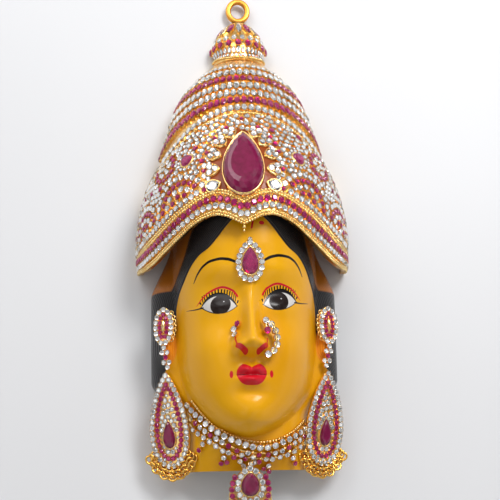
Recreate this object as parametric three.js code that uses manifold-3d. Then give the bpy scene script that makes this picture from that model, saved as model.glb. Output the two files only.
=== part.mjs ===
// Lakshmi face mask lying on its back, in millimetres. X runs to the viewer's right, Y up to the tip of the
// crown and Z out of the face. The cut rims of both shells lie on Z = 0.
import * as THREE from 'three';
import { mergeVertices } from 'three/addons/utils/BufferGeometryUtils.js';
import Module from 'manifold-3d';

const wasm = await Module();
wasm.setup();

const GAP = 0.35; // clearance between touching pieces
const PROBE = 0.2; // step used to measure slopes
const SIDES = [[-1, 'left'], [1, 'right']];

// Head sizes
const HEAD_TOP = 12;
const NECK_END = -143;
const HEAD_WALL = 3.2;
const EYE = { x: 17.5, y: -52 };
const MOUTH_Y = -92.5;
const NOSE_TIP_Y = -75;

// Crown sizes
const CROWN_WALL = 2.2;
const TIP_Y = 153.4;
const TURN = 3; // degrees that the front of the crown is turned to the viewer's left
const RUBY = { y: 26.8, width: 25, height: 45, taper: 0.55, depth: 5.5 };
const STONE = 3.4; // pitch of the small stones
const RING = { y: 163, outerX: 8.3, outerY: 9.2, holeX: 4.7, holeY: 5.6, thick: 3.4, bevel: 0.8, z: 2.6 };

const colors = {
  turmeric: { color: 0xf0a818, roughness: 0.25, metalness: 0 },
  gold: { color: 0xe0a03c, roughness: 0.3, metalness: 1 },
  ruby: { color: 0x9b1c5c, roughness: 0.08, metalness: 0 },
  crystal: { color: 0xe9e9ec, roughness: 0.05, metalness: 0.1 },
};

// Monotone cubic curve through the points [at, value], flat beyond its ends
function profile(points) {
  const last = points.length - 1;
  const secant = (i) => (points[i + 1][1] - points[i][1]) / (points[i + 1][0] - points[i][0]);
  const tangent = points.map((point, i) => {
    if (i === 0) return secant(0);
    if (i === last) return secant(last - 1);
    const product = secant(i - 1) * secant(i);
    return product > 0 ? (2 * product) / (secant(i - 1) + secant(i)) : 0;
  });
  return (at) => {
    if (at <= points[0][0]) return points[0][1];
    if (at >= points[last][0]) return points[last][1];
    const i = points.findIndex((point) => point[0] > at) - 1;
    const span = points[i + 1][0] - points[i][0];
    const t = (at - points[i][0]) / span;
    const rest = 1 - t;
    const start = (1 + 2 * t) * points[i][1] + t * span * tangent[i];
    const end = (3 - 2 * t) * points[i + 1][1] - rest * span * tangent[i + 1];
    return rest * rest * start + t * t * end;
  };
}

// count + 1 stations between two ends, closer together where the density is high
function spread(from, to, count, density) {
  const samples = 600;
  const at = (i) => from + ((to - from) * i) / samples;
  const sums = [0];
  for (let i = 0; i < samples; i += 1) sums.push(sums[i] + density((at(i) + at(i + 1)) / 2));
  const stations = [];
  for (let k = 0; k <= count; k += 1) {
    const wanted = (sums[samples] * k) / count;
    const i = Math.min(samples - 1, sums.findIndex((sum) => sum > wanted) - 1);
    stations.push(k === count ? to : at(i + (wanted - sums[i]) / (sums[i + 1] - sums[i])));
  }
  return stations;
}

const bell = (x, width) => Math.exp(-((x / width) ** 2));
const mound = (x, y, cx, cy, rx, ry) => bell(x - cx, rx) * bell(y - cy, ry);
const mix = (a, b, t) => a + (b - a) * t;
const smooth = (from, to, x) => THREE.MathUtils.smoothstep(x, from, to);
const vault = (ratio, power) => Math.max(0, 1 - Math.abs(ratio) ** power) ** (1 / power);

function softMax(a, b, blend) {
  const h = Math.max(blend - Math.abs(a - b), 0) / blend;
  return Math.max(a, b) + (h * h * blend) / 4;
}

// Head surface: a face vault over a low vault of hair and neck
const headHalf = profile([[-143, 35], [-128, 34.5], [-113, 36.5], [-105, 42], [-98, 51], [-90, 57],
  [-38, 57.5], [-28, 54], [-18, 49.5], [-8, 46], [12, 44]]);
const backMiddle = profile([[-143, 25], [-135, 31], [-128, 35], [-118, 35], [-105, 32.5], [-90, 30],
  [-38, 30], [-10, 27], [12, 26]]);
const faceMiddle = profile([[-125, 30], [-123.5, 40], [-121, 47], [-116.5, 54.5], [-110, 57], [-103, 58.5],
  [-92, 60.5], [-80, 61], [-65, 60.5], [-52, 60.5], [-42, 62.5], [-30, 65.8], [-18, 67.6], [-6, 67.6],
  [12, 63]]);
const faceHalf = profile([[-125, 4], [-123, 12], [-119.3, 20.5], [-113, 28.5], [-106, 34.5], [-98, 39.5],
  [-85, 42.5], [-70, 44.2], [-50, 45], [-30, 45.3], [12, 43]]);
const hairline = profile([[-42, 40], [-35, 36.3], [-28.4, 32.6], [-21.3, 27], [-14.5, 18.5], [-10, 13],
  [-6.5, 9.5], [-3, 4.5], [0, 0.5]]);
const wingOuter = profile([[-42, 46], [-30, 39.5], [-21, 35.5], [-10, 32.2], [0, 28]]);
const noseHeight = profile([[-85, 0], [-83, 1.5], [-80.5, 8.5], [-78, 14], [NOSE_TIP_Y, 16.6], [-70, 14.4],
  [-60, 9.6], [-50, 5.4], [-40, 2], [-30, 0]]);
const noseHalf = profile([[-84, 6], [NOSE_TIP_Y, 5.4], [-66, 4.2], [-52, 3.6], [-36, 5.5]]);

function faceVault(x, y, inset = 0) {
  return (faceMiddle(y) - inset) * vault(x / (faceHalf(y) - inset), 2.2);
}

function backVault(x, y, inset = 0) {
  return (backMiddle(y) - inset) * vault(x / (headHalf(y) - inset), 3);
}

function noseForm(x, y) {
  const side = Math.abs(x);
  const ridge = noseHeight(y) * bell(x, noseHalf(y) * 1.15);
  const wings = 6.4 * mound(side, y, 6.6, -77.2, 3.1, 4.2);
  const nostrils = -2.6 * mound(side, y, 4.2, -81.4, 2.3, 1.8);
  return ridge + wings + nostrils;
}

function mouthForm(x, y) {
  const side = Math.abs(x);
  const upper = 2.9 * mound(side, y, 3, MOUTH_Y + 3, 3.4, 2.3);
  const lower = 3.4 * mound(x, y, 0, MOUTH_Y - 2.7, 5.2, 2.6);
  const parting = -1.5 * bell(x, 7) * bell(y - MOUTH_Y, 1.1);
  const muzzle = 1.8 * mound(x, y, 0, MOUTH_Y + 1, 12, 9);
  const philtrum = -0.7 * mound(x, y, 0, -86, 1.4, 2.6);
  return upper + lower + parting + muzzle + philtrum;
}

function eyeForm(x, y) {
  const side = Math.abs(x);
  const socket = -2.8 * mound(side, y, 15, -46, 10, 7);
  const ball = 3 * mound(side, y, EYE.x, EYE.y, 9.5, 6.4);
  const brow = 1.2 * mound(side, y, 18, -32, 13, 6);
  return socket + ball + brow;
}

function chinAndCheeks(x, y) {
  const side = Math.abs(x);
  const cheeks = 2.6 * mound(side, y, 23, -76, 12, 13);
  const chin = 2.6 * mound(x, y, 0, -111, 9, 7);
  const fold = -1.4 * mound(x, y, 0, -102, 8, 3);
  return cheeks + chin + fold;
}

function hairWings(x, y) {
  const side = Math.abs(x);
  const inside = smooth(0, 1.6, side - hairline(y));
  const outside = 1 - smooth(0, 3, side - wingOuter(y));
  return 1.5 * inside * outside * smooth(-46, -40, y);
}

function headHeight(x, y) {
  const features = noseForm(x, y) + mouthForm(x, y) + eyeForm(x, y) + chinAndCheeks(x, y) + hairWings(x, y);
  const face = faceVault(x, y) + features;
  const ear = 5 * mound(Math.abs(x), y, 47, -70, 3.6, 11);
  return softMax(face, backVault(x, y) + ear, 4);
}

function headPoint(x, y, lift = 0) {
  const slope = (dx, dy) => (headHeight(x + dx, y + dy) - headHeight(x - dx, y - dy)) / (2 * PROBE);
  const normal = new THREE.Vector3(-slope(PROBE, 0), -slope(0, PROBE), 1).normalize();
  const point = new THREE.Vector3(x, y, headHeight(x, y)).addScaledVector(normal, lift);
  return { point, normal };
}

// Crown surface: half-widths and heights of the outer skin, over the true Y
const crownHalf = profile([[-32, 64], [-15, 65.2], [-5, 65.6], [4, 65.2], [14, 63.7], [24, 61.6],
  [33.7, 58.4], [44.6, 54], [57, 50.3], [66, 48], [78, 44.8], [86, 42], [95.5, 37.2], [103, 31.5],
  [110.5, 26.3], [117.5, 20.8], [123, 16.6], [126, 15.6], [132, 17.4], [140, 15], [148.5, 9.4], [TIP_Y, 6.8]]);
const crownMiddle = profile([[-32, 68], [-20, 71.5], [-9, 74.5], [2, 76.5], [9, 76.5], [28, 72.5], [52, 62.5],
  [66, 54.5], [77, 48.5], [97, 38.8], [109, 31], [116, 24], [120.5, 18.5], [124, 18], [130, 18.2],
  [140, 14.5], [148.5, 10], [TIP_Y, 7.4]]);

function crownPoint(y, angle, lift = 0) {
  const at = (yy, aa) => new THREE.Vector3(crownHalf(yy) * Math.sin(aa), yy, crownMiddle(yy) * Math.cos(aa));
  const along = at(y + PROBE, angle).sub(at(y - PROBE, angle));
  const around = at(y, angle + 0.01).sub(at(y, angle - 0.01));
  const normal = around.cross(along).normalize().negate();
  if (normal.dot(new THREE.Vector3(Math.sin(angle), 0, Math.cos(angle))) < 0) normal.negate();
  const point = at(y, angle).addScaledVector(normal, lift);
  return { point, normal };
}

const degrees = THREE.MathUtils.radToDeg;
const footCurve = profile([[0, -9.8], [4, -7.6], [9, -5], [14, -4], [19, -4.8], [25, -7.5], [34, -13.6],
  [45, -20], [55, -24], [65, -25], [75, -23.5], [90, -21]]);
const bandCurve = profile([[0, 4.2], [4, 6.8], [9, 9.4], [14, 10.2], [20, 8.8], [29, 4.2], [38, -1],
  [46, -5.5], [54, -9], [69, -12.6], [90, -14]]);
const bandFoot = (angle) => footCurve(Math.abs(degrees(angle) + TURN));
const bandTop = (angle) => bandCurve(Math.abs(degrees(angle) + TURN));
const inBand = (t) => (angle) => mix(bandFoot(angle), bandTop(angle), t);
// A tier line: its Y on the midline, and how far its ends sweep down at the sides
const tier = (middle, sweep) => (angle) => middle - sweep * (1 - Math.cos(angle));
const domeFoot = tier(66.5, 50);
const lowerRubies = tier(76.5, 26);
const upperRubies = tier(95.3, 10);
const domeTop = tier(112, 0);
const coneFoot = tier(120.5, -4);
const coneRubies = tier(132, 0);
const between = (low, high, t) => (angle) => mix(low(angle), high(angle), t);

// Closed solid through rings of points, with zigzag caps at both ends
function loft(rings) {
  const count = rings[0].length;
  const index = [];
  for (let r = 0; r + 1 < rings.length; r += 1) {
    for (let i = 0; i < count; i += 1) {
      const a = r * count + i;
      const b = r * count + ((i + 1) % count);
      index.push(a, b, b + count, a, b + count, a + count);
    }
  }
  const cap = (start, flip) => {
    let low = 0;
    let high = count - 1;
    while (high - low >= 2) {
      index.push(start + low, start + (flip ? low + 1 : high), start + (flip ? high : low + 1));
      low += 1;
      if (high - low < 2) break;
      index.push(start + low, start + (flip ? high - 1 : high), start + (flip ? high : high - 1));
      high -= 1;
    }
  };
  cap(0, false);
  cap((rings.length - 1) * count, true);
  const geometry = new THREE.BufferGeometry();
  const points = rings.flat().flatMap((point) => [point.x, point.y, point.z]);
  geometry.setAttribute('position', new THREE.Float32BufferAttribute(points, 3));
  geometry.setIndex(index);
  return solid(geometry);
}

function signedVolume(position, index) {
  const [a, b, c] = [new THREE.Vector3(), new THREE.Vector3(), new THREE.Vector3()];
  let sum = 0;
  for (let i = 0; i < index.length; i += 3) {
    a.fromArray(position, 3 * index[i]);
    b.fromArray(position, 3 * index[i + 1]);
    c.fromArray(position, 3 * index[i + 2]);
    sum += a.dot(b.cross(c));
  }
  return sum;
}

// Manifold solid of a closed geometry, turned to face outwards
function solid(geometry) {
  geometry.deleteAttribute('normal');
  geometry.deleteAttribute('uv');
  const merged = mergeVertices(geometry, 1e-5);
  const vertProperties = new Float32Array(merged.attributes.position.array);
  const triVerts = new Uint32Array(merged.index.array);
  if (signedVolume(vertProperties, triVerts) < 0) triVerts.reverse();
  return new wasm.Manifold(new wasm.Mesh({ numProp: 3, vertProperties, triVerts }));
}

function meshOf(name, body, finish) {
  const data = body.getMesh();
  const geometry = new THREE.BufferGeometry();
  geometry.setAttribute('position', new THREE.BufferAttribute(new Float32Array(data.vertProperties), 3));
  geometry.setIndex(Array.from(data.triVerts));
  geometry.computeVertexNormals();
  const mesh = new THREE.Mesh(geometry, new THREE.MeshStandardMaterial(finish));
  mesh.name = name;
  return mesh;
}

const fuse = (bodies) => bodies.reduce((whole, body) => whole.add(body));

// One cross-section of the head, from the left rim over the face to the right rim
function headRing(y, columns, lift) {
  return columns.map((u) => {
    const half = headHalf(y) + lift;
    const edge = Math.abs(u) === 1;
    const x = half * u;
    return new THREE.Vector3(x, y, edge ? -lift : headHeight(x * (headHalf(y) / half), y) + lift);
  });
}

// The hollow keeps clear of the crease under the chin by taking the lowest height a wall's width around
function hollowHeight(x, y) {
  const at = (yy) => Math.max(faceVault(x, yy, HEAD_WALL), backVault(x, yy, HEAD_WALL));
  return Math.min(at(y - HEAD_WALL), at(y), at(y + HEAD_WALL));
}

function headInnerRing(y, columns) {
  return columns.map((u) => {
    const x = (headHalf(y) - HEAD_WALL) * u;
    return new THREE.Vector3(x, y, Math.abs(u) === 1 ? -1 : hollowHeight(x, y));
  });
}

const headColumns = spread(-1, 1, 22, (u) => 1 + 1.7 * bell(u, 0.2) + 1.2 * bell(Math.abs(u) - 1, 0.1));
const headRows = spread(HEAD_TOP, NECK_END, 27, (y) => 1 + 2.4 * bell(y + 82, 14) + 1.6 * bell(y + 122, 4)
  + 0.5 * bell(y + 50, 10));
const headOuter = (lift) => loft(headRows.map((y) => headRing(y, headColumns, lift)));

function headShell() {
  const columns = spread(-1, 1, 12, (u) => 1 + 1.3 * bell(Math.abs(u) - 0.78, 0.12));
  const rows = spread(HEAD_TOP + 2, NECK_END - 2, 10, (y) => 1 + 2 * bell(y + 119, 8));
  return headOuter(0).subtract(loft(rows.map((y) => headInnerRing(y, columns))));
}

// Rows of the crown from its foot to its tip: the line that a row follows and how far it stands out
const crownRows = [
  [inBand(0), 0], [inBand(0.08), 1.4], [inBand(0.2), 0.2], [inBand(0.8), 0.2], [inBand(0.93), 1.4],
  [inBand(1.04), 0], ...[0.22, 0.42, 0.62, 0.82].map((t) => [between(bandTop, domeFoot, t), 0]),
  [between(bandTop, domeFoot, 0.98), 0], [domeFoot, 1.3], [between(domeFoot, lowerRubies, 0.3), 0],
  [lowerRubies, 0], [between(lowerRubies, upperRubies, 0.5), 0.3], [upperRubies, 0.2],
  [between(upperRubies, domeTop, 0.5), 0], [domeTop, 0], [between(domeTop, coneFoot, 0.75), -0.6],
  [coneFoot, 1.5], [between(coneFoot, coneRubies, 0.35), 0], [coneRubies, 0], [tier(141, 0), 0],
  [tier(148.5, 0), 0], [tier(TIP_Y, 0), 0],
];
const crownAngles = spread(-Math.PI / 2, Math.PI / 2, 22, (angle) => 1 + 0.9 * bell(angle, 0.32));

function crownRing(line, angles, lift) {
  return angles.map((angle) => {
    const { point } = crownPoint(line(angle), angle, lift);
    if (Math.abs(angle) > 1.5707) point.z = lift > 0 ? Math.min(0, point.z) : 0;
    return point;
  });
}

function crownOuter(lift) {
  return loft(crownRows.map(([line, stand]) => crownRing(line, crownAngles, stand + lift)));
}

function crownShell() {
  const angles = spread(-Math.PI / 2, Math.PI / 2, 14, () => 1);
  const hollowEnds = [(angle) => bandFoot(angle) - 9, inBand(0.4), between(bandTop, domeFoot, 0.35),
    between(bandTop, domeFoot, 0.75), lowerRubies, upperRubies, domeTop, coneFoot, coneRubies, tier(146, 0)];
  const rings = hollowEnds.map((line) => crownRing(line, angles, -CROWN_WALL));
  rings.forEach((ring) => {
    ring[0].z = -1;
    ring[ring.length - 1].z = -1;
  });
  return crownOuter(0).subtract(loft(rings));
}

const headGuard = headOuter(GAP);
const crownGuard = crownOuter(GAP);

// Outline of a pear: tip up at t = 0, wide end down. taper 0 gives an ellipse.
function pear(t, width, height, taper) {
  const s = Math.sqrt((1 + taper) / (2 + taper));
  const widest = 2 * s ** (1 + taper) * Math.sqrt(1 - s * s);
  const x = (width / 2) * ((Math.sin(t) * Math.abs(Math.sin(t / 2)) ** taper) / widest);
  return [x, (height / 2) * Math.cos(t)];
}

// Jewel with a pear outline: levels are [scale of the outline, height], from the base up
function jewel(width, height, taper, levels, sides) {
  const rings = levels.map(([scale, z]) => {
    const ring = [];
    for (let i = 0; i < sides; i += 1) {
      const [x, y] = pear(((i + 0.5) / sides) * 2 * Math.PI, width, height, taper);
      ring.push(new THREE.Vector3(x * scale, y * scale, z));
    }
    return ring;
  });
  return loft(rings);
}

// Moves a body built round its own origin to a place, with its Z along the normal and its Y near "up"
function place(body, { point, normal }, up = new THREE.Vector3(0, 1, 0)) {
  const x = up.clone().cross(normal).normalize();
  const y = normal.clone().cross(x);
  const matrix = new THREE.Matrix4().makeBasis(x, y, normal);
  matrix.setPosition(point);
  return body.transform(matrix.elements);
}

// A strip of small stones along a path: a ridge that swells at each stone and narrows between them
function stoneStrip(path, count, width, height) {
  const rings = [];
  for (let i = 0; i <= 2 * count; i += 1) {
    const t = i / (2 * count);
    const { point, normal } = path(t);
    const along = path(Math.min(1, t + 0.002)).point.sub(path(Math.max(0, t - 0.002)).point).normalize();
    const side = along.cross(normal).normalize();
    const swell = i % 2 === 1 ? 1 : 0.6;
    const half = (width / 2) * swell;
    rings.push([
      point.clone().addScaledVector(side, -half),
      point.clone().addScaledVector(normal, height * swell),
      point.clone().addScaledVector(side, half),
    ]);
  }
  return loft(rings);
}

// The parameter that runs a path at an even pace, and the length of the path
function pacing(path) {
  const samples = 300;
  const lengths = [0];
  for (let i = 1; i <= samples; i += 1) {
    lengths.push(lengths[i - 1] + path(i / samples).point.distanceTo(path((i - 1) / samples).point));
  }
  const total = lengths[samples];
  const pace = (t) => {
    const wanted = Math.min(0.999999, Math.max(0, t)) * total;
    const i = lengths.findIndex((length) => length > wanted) - 1;
    return (i + (wanted - lengths[i]) / (lengths[i + 1] - lengths[i])) / samples;
  };
  return { pace, total };
}

// Stone row on the crown along a line, between two equal angles either side of the middle
function crownStones(name, line, reach, pitch, width, height, finish) {
  const limit = THREE.MathUtils.degToRad(reach);
  const path = (t) => {
    const angle = mix(-limit, limit, t);
    return crownPoint(line(angle), angle, GAP + 0.25);
  };
  const { pace, total } = pacing(path);
  const strip = stoneStrip((t) => path(pace(t)), Math.round(total / pitch), width, height);
  return meshOf(name, strip.subtract(crownGuard), finish);
}

function onCrown(body, x, y, up) {
  const angle = Math.asin(x / crownHalf(y)) - THREE.MathUtils.degToRad(TURN);
  return place(body, crownPoint(y, angle), up).subtract(crownGuard);
}

function hangingRing() {
  const oval = (path, x, y) => path.absellipse(0, 0, x - RING.bevel, y - RING.bevel, 0, 2 * Math.PI);
  const shape = new THREE.Shape();
  oval(shape, RING.outerX, RING.outerY);
  const hole = new THREE.Path();
  hole.absellipse(0, 0, RING.holeX + RING.bevel, RING.holeY + RING.bevel, 0, 2 * Math.PI);
  shape.holes.push(hole);
  const geometry = new THREE.ExtrudeGeometry(shape, {
    depth: RING.thick - 2 * RING.bevel,
    bevelEnabled: true,
    bevelThickness: RING.bevel,
    bevelSize: RING.bevel,
    bevelSegments: 1,
    curveSegments: 8,
  });
  geometry.translate(0, RING.y, RING.z + RING.bevel);
  return meshOf('hanging_ring', solid(geometry), colors.gold);
}

function crownRuby() {
  const levels = [[1, -4], [1, 2.6], [0.78, 4.4], [0.42, RUBY.depth]];
  const stone = jewel(RUBY.width, RUBY.height, RUBY.taper, levels, 18);
  return meshOf('crown_ruby', onCrown(stone, 0, RUBY.y), colors.ruby);
}

// Five pear settings on each side of the big stone, their tips pointing at it
function crownPetals() {
  const levels = [[1, -3], [1, 1.2], [0.6, 2.8]];
  const meshes = [];
  for (const [side, word] of SIDES) {
    for (let i = 0; i < 5; i += 1) {
      const turn = THREE.MathUtils.degToRad(-18 + 21 * i);
      const x = side * 18 * Math.cos(turn);
      const y = RUBY.y - 4.8 + 29.5 * Math.sin(turn);
      const inwards = new THREE.Vector3(-side * Math.cos(turn), -Math.sin(turn), 0);
      const body = onCrown(jewel(7.6, 9.4, 0.5, levels, 6), x, y, inwards);
      meshes.push(meshOf(`crown_petal_${word}_${i + 1}`, body, colors.crystal));
    }
  }
  return meshes;
}

function crownRosettes() {
  const levels = [[1, -3], [1, 0.8], [0.8, 2.1], [0.55, 1.7], [0.4, 3.6]];
  return SIDES.map(([side, word]) => {
    const body = onCrown(jewel(14, 14, 0, levels, 8), side * 32, 33.3);
    return meshOf(`crown_rosette_${word}`, body, colors.ruby);
  });
}

function crownStoneRows() {
  return [
    crownStones('brow_rubies', inBand(0.66), 67, STONE * 1.2, 3.3, 2, colors.ruby),
    crownStones('brow_crystals', inBand(0.36), 67, STONE * 1.2, 3.3, 1.8, colors.crystal),
    crownStones('dome_rubies_lower', lowerRubies, 66, 4.2, 4, 2, colors.ruby),
    crownStones('dome_rubies_upper', upperRubies, 68, 4.2, 3.2, 1.8, colors.ruby),
    crownStones('cone_rubies', coneRubies, 72, 5, 3.2, 1.6, colors.ruby),
  ];
}

function foreheadJewels() {
  const y = -29;
  const setting = jewel(17, 25, 0.25, [[1, -3], [1, 1.2], [0.8, 2.4], [0.6, 1.8]], 12);
  const stone = jewel(9.6, 16, 0.7, [[1, 0], [1, 1], [0.6, 2.2]], 10);
  const { point, normal } = headPoint(0, y);
  const seat = { point: point.clone().addScaledVector(normal, 1.8 + GAP), normal };
  return [
    meshOf('forehead_pendant', place(setting, { point, normal }).subtract(headGuard), colors.crystal),
    meshOf('forehead_ruby', place(stone, seat), colors.ruby),
  ];
}

function noseStud() {
  const arc = (t) => headPoint(-6.6 - 2 * Math.sin(Math.PI * t), mix(-63, -72.4, t), GAP + 0.5);
  return meshOf('nose_stud', stoneStrip(arc, 3, 4, 2.4).subtract(headGuard), colors.crystal);
}

// The ring curves out from its seat on the nostril, over the cheek and back in above the lip
function noseRing() {
  const normal = new THREE.Vector3(0.18, 0, 1).normalize();
  const arc = (t) => {
    const turn = THREE.MathUtils.degToRad(mix(112, -108, t));
    return { point: new THREE.Vector3(8.3 + 5.6 * Math.cos(turn), -72.7 + 9.5 * Math.sin(turn), 67), normal };
  };
  const seat = jewel(5.2, 10.4, 0, [[1, -7], [1, 1.6], [0.5, 3]], 8);
  const body = fuse([stoneStrip(arc, 8, 3.7, 2.6),
    place(seat, { point: new THREE.Vector3(8.4, -69, 67), normal })]);
  return meshOf('nose_ring', body.subtract(headGuard), colors.crystal);
}

// Ear ornament frame: the stud and its stone chain, the pear drop below it and the drop's fringe of links
const EAR = { x: 48.8, y: -59.5, z: 28, lean: 0.34 };
const DROP = { x: 45.6, y: -113.4, z: 20.5, width: 24.5, height: 57, lean: 0.36, tip: 0.22 };

function earStud([side, word]) {
  const normal = new THREE.Vector3(side * EAR.lean, 0, 1).normalize();
  const centre = new THREE.Vector3(side * EAR.x, EAR.y, EAR.z);
  const plate = jewel(13, 23.5, 0, [[1, -2], [1, 0.6], [0.78, 2.4], [0.52, 1.7], [0.2, 3]], 12);
  const chainTop = new THREE.Vector3(side * EAR.x, EAR.y - 10, EAR.z);
  const chainEnd = new THREE.Vector3(side * (DROP.x + 0.6), -84.2, 27.2);
  const chain = (t) => ({ point: chainTop.clone().lerp(chainEnd, t), normal });
  const body = fuse([place(plate, { point: centre, normal }), stoneStrip(chain, 3, 5, 2.6)]);
  return meshOf(`ear_stud_${word}`, body.subtract(headGuard), colors.crystal);
}

function dropSeat(side, lift, shift) {
  const normal = new THREE.Vector3(side * DROP.lean, -DROP.tip, 1).normalize();
  const point = new THREE.Vector3(side * DROP.x, DROP.y, DROP.z).addScaledVector(normal, lift);
  point.add(new THREE.Vector3(0, 1, DROP.tip).multiplyScalar(shift));
  return { point, normal };
}

function earDrop([side, word]) {
  const levels = [[1, 0], [1, 1.6], [0.86, 3.2], [0.7, 2.2], [0.55, 3.4], [0.38, 2.6]];
  const plate = jewel(DROP.width, DROP.height, 0.75, levels, 16);
  const body = place(plate, dropSeat(side, 0, 0)).subtract(headGuard).subtract(necklaceBody(GAP));
  return meshOf(`ear_drop_${word}`, body, colors.crystal);
}

function earDropRuby([side, word]) {
  const stone = jewel(7.4, 15.5, 0.9, [[1, 0], [1, 1.2], [0.55, 2.6]], 10);
  return meshOf(`ear_drop_ruby_${word}`, place(stone, dropSeat(side, 3.4 + GAP, -8)), colors.ruby);
}

// Links in a chain under the drop, each overlapping the next
function earFringe([side, word]) {
  const links = [];
  for (let i = 0; i < 5; i += 1) {
    const turn = THREE.MathUtils.degToRad(90 + 21 * (i - 2));
    const link = new THREE.TorusGeometry(3.6, 0.85, 3, 6);
    link.rotateX(i % 2 ? 0.28 : -0.28);
    link.translate(Math.cos(turn) * 16.4, -10.2 - Math.sin(turn) * 23.2, 0.9);
    links.push(solid(link));
  }
  return meshOf(`ear_fringe_${word}`, place(fuse(links), dropSeat(side, 0, 0)), colors.gold);
}

// Necklace: a bib round the neck, one plate with two rows of stones standing on it
const NECKLACE = { stones: 14, reach: 32, low: -126.4, rise: 18, width: 13.6, skew: 0.19 };

// The upper edge of the necklace, which hangs a little lower on the right
function necklaceEdge(x) {
  return NECKLACE.low + NECKLACE.rise * (Math.abs(x) / NECKLACE.reach) ** 2.3 - NECKLACE.skew * x;
}

function necklacePath(t, across, lift, grow = 0) {
  const x = mix(-1, 1, t) * (NECKLACE.reach + grow);
  const beyond = (2 * across - 1) * grow;
  return headPoint(x, necklaceEdge(x) - NECKLACE.width * across - beyond, lift);
}

function necklaceBody(grow) {
  // Section of the strip: how far across it, height, and how much the height follows the stones
  const section = [[0, 0, 0], [1, 0, 0], [1, 1.2, 0], [0.76, 3.4, 1], [0.5, 1.6, 0], [0.22, 3, 1],
    [0, 1.2, 0]];
  const { pace } = pacing((t) => necklacePath(t, 0.5, 0));
  const rings = [];
  for (let i = 0; i <= 2 * NECKLACE.stones; i += 1) {
    const t = pace(i / (2 * NECKLACE.stones));
    rings.push(section.map(([across, height, ripple]) => {
      const dip = i % 2 === 0 ? ripple * 1.2 : 0;
      return necklacePath(t, across, 0.9 + height - dip + (height > 0 ? grow : 0), grow).point;
    }));
  }
  return loft(rings).subtract(headGuard);
}

const PENDANT = { y: -153.5, z: 31, width: 25, height: 38.4, tilt: 0.24 };

function pendantSeat(lift, shift) {
  const normal = new THREE.Vector3(0, -PENDANT.tilt, 1).normalize();
  const point = new THREE.Vector3(0, PENDANT.y, PENDANT.z).addScaledVector(normal, lift);
  point.add(new THREE.Vector3(0, 1, PENDANT.tilt).multiplyScalar(shift));
  return { point, normal };
}

function necklacePieces() {
  const plate = jewel(PENDANT.width, PENDANT.height, 0.3, [[1, 0], [1, 1.8], [0.84, 3.4], [0.66, 2.6]], 16);
  const stone = jewel(11, 13.5, 0.35, [[1, 0], [1, 1.4], [0.6, 3]], 12);
  const pendant = place(plate, pendantSeat(0, 0)).subtract(necklaceBody(GAP)).subtract(headGuard);
  return [
    meshOf('necklace', necklaceBody(0), colors.crystal),
    meshOf('necklace_pendant', pendant, colors.crystal),
    meshOf('pendant_ruby', place(stone, pendantSeat(2.6 + GAP, 3.4)), colors.ruby),
  ];
}

const group = new THREE.Group();
group.add(meshOf('mask_head', headShell(), colors.turmeric), meshOf('crown', crownShell(), colors.gold));
group.add(hangingRing(), crownRuby(), ...crownPetals(), ...crownRosettes(), ...crownStoneRows());
group.add(...foreheadJewels(), noseStud(), noseRing(), ...necklacePieces());
for (const side of SIDES) group.add(earStud(side), earDrop(side), earDropRuby(side), earFringe(side));

export default group;
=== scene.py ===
"""Looks of the lakshmi face mask: painted head, gold crown, set stones, ornaments, camera and light.

Lengths are millimetres until a mesh is made. X runs to the viewer's right, Y to the tip of the crown and Z
out of the face, and the mask lies on Z = 0.
"""

import math

import bpy
import numpy as np
from mathutils import Matrix, Vector


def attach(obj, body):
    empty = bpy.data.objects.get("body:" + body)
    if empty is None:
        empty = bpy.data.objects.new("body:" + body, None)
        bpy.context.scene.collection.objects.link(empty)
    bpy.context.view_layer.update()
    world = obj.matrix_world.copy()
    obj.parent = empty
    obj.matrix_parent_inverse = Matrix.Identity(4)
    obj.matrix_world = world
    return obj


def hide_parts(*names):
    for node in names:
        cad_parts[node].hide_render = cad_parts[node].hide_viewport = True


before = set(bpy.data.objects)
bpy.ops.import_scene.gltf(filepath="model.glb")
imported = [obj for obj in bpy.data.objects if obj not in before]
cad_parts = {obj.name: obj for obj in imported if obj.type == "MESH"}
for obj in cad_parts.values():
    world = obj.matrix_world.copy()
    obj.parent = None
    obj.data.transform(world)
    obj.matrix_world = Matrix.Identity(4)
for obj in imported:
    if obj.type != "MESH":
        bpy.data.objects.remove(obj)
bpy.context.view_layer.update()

MM = 0.001
UP = np.array([0.0, 1.0, 0.0])
PROBE = 0.2  # step used to measure slopes
FULL_TURN = 2 * math.pi
SIDES = ((-1, "left"), (1, "right"))

SKIN, SKIN_DEEP = (0.81, 0.4, 0.005), (0.73, 0.325, 0.003)
HAIR, HAIR_SHINE = (0.006, 0.006, 0.006), (0.025, 0.022, 0.024)
# red-brown enamel darkened with painted shade, for the ground between the crown's settings
ENAMEL_AND_SHADE = (0.27, 0.05, 0.007)
INK = (0.004, 0.003, 0.004)
LIP_RED = (0.6, 0.008, 0.02)
SEAM_RED = (0.2, 0.002, 0.006)
TEMPLE_BROWN = (0.42, 0.13, 0.012)
EAR_ORANGE = (0.8, 0.27, 0.012)
EYE_WHITE = (0.6, 0.58, 0.56)
IRIS_BROWN = (0.012, 0.006, 0.005)
GLINT_GREY = (0.5, 0.5, 0.52)
HAIR_PITCH = 1.3
LASH_PITCH, LASH_WIDTH = 1.65, 0.8

HEAD_TOP, NECK_END = 12.0, -143.0
HEAD_WALL, CROWN_WALL = 3.2, 2.2
LINING_END = 146  # the crown's hollow stops short of its tip
EYE_X, EYE_Y = 17.5, -52.0
MOUTH_Y, NOSE_TIP_Y = -92.5, -75.0
TIP_Y = 153.4
TURN = math.radians(3)  # the front of the crown is turned to the viewer's left
RUBY_Y, RUBY_WIDTH, RUBY_HEIGHT, RUBY_TAPER = 26.8, 25.0, 45.0, 0.55


# Curves and surfaces, close to the solids' own


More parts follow.
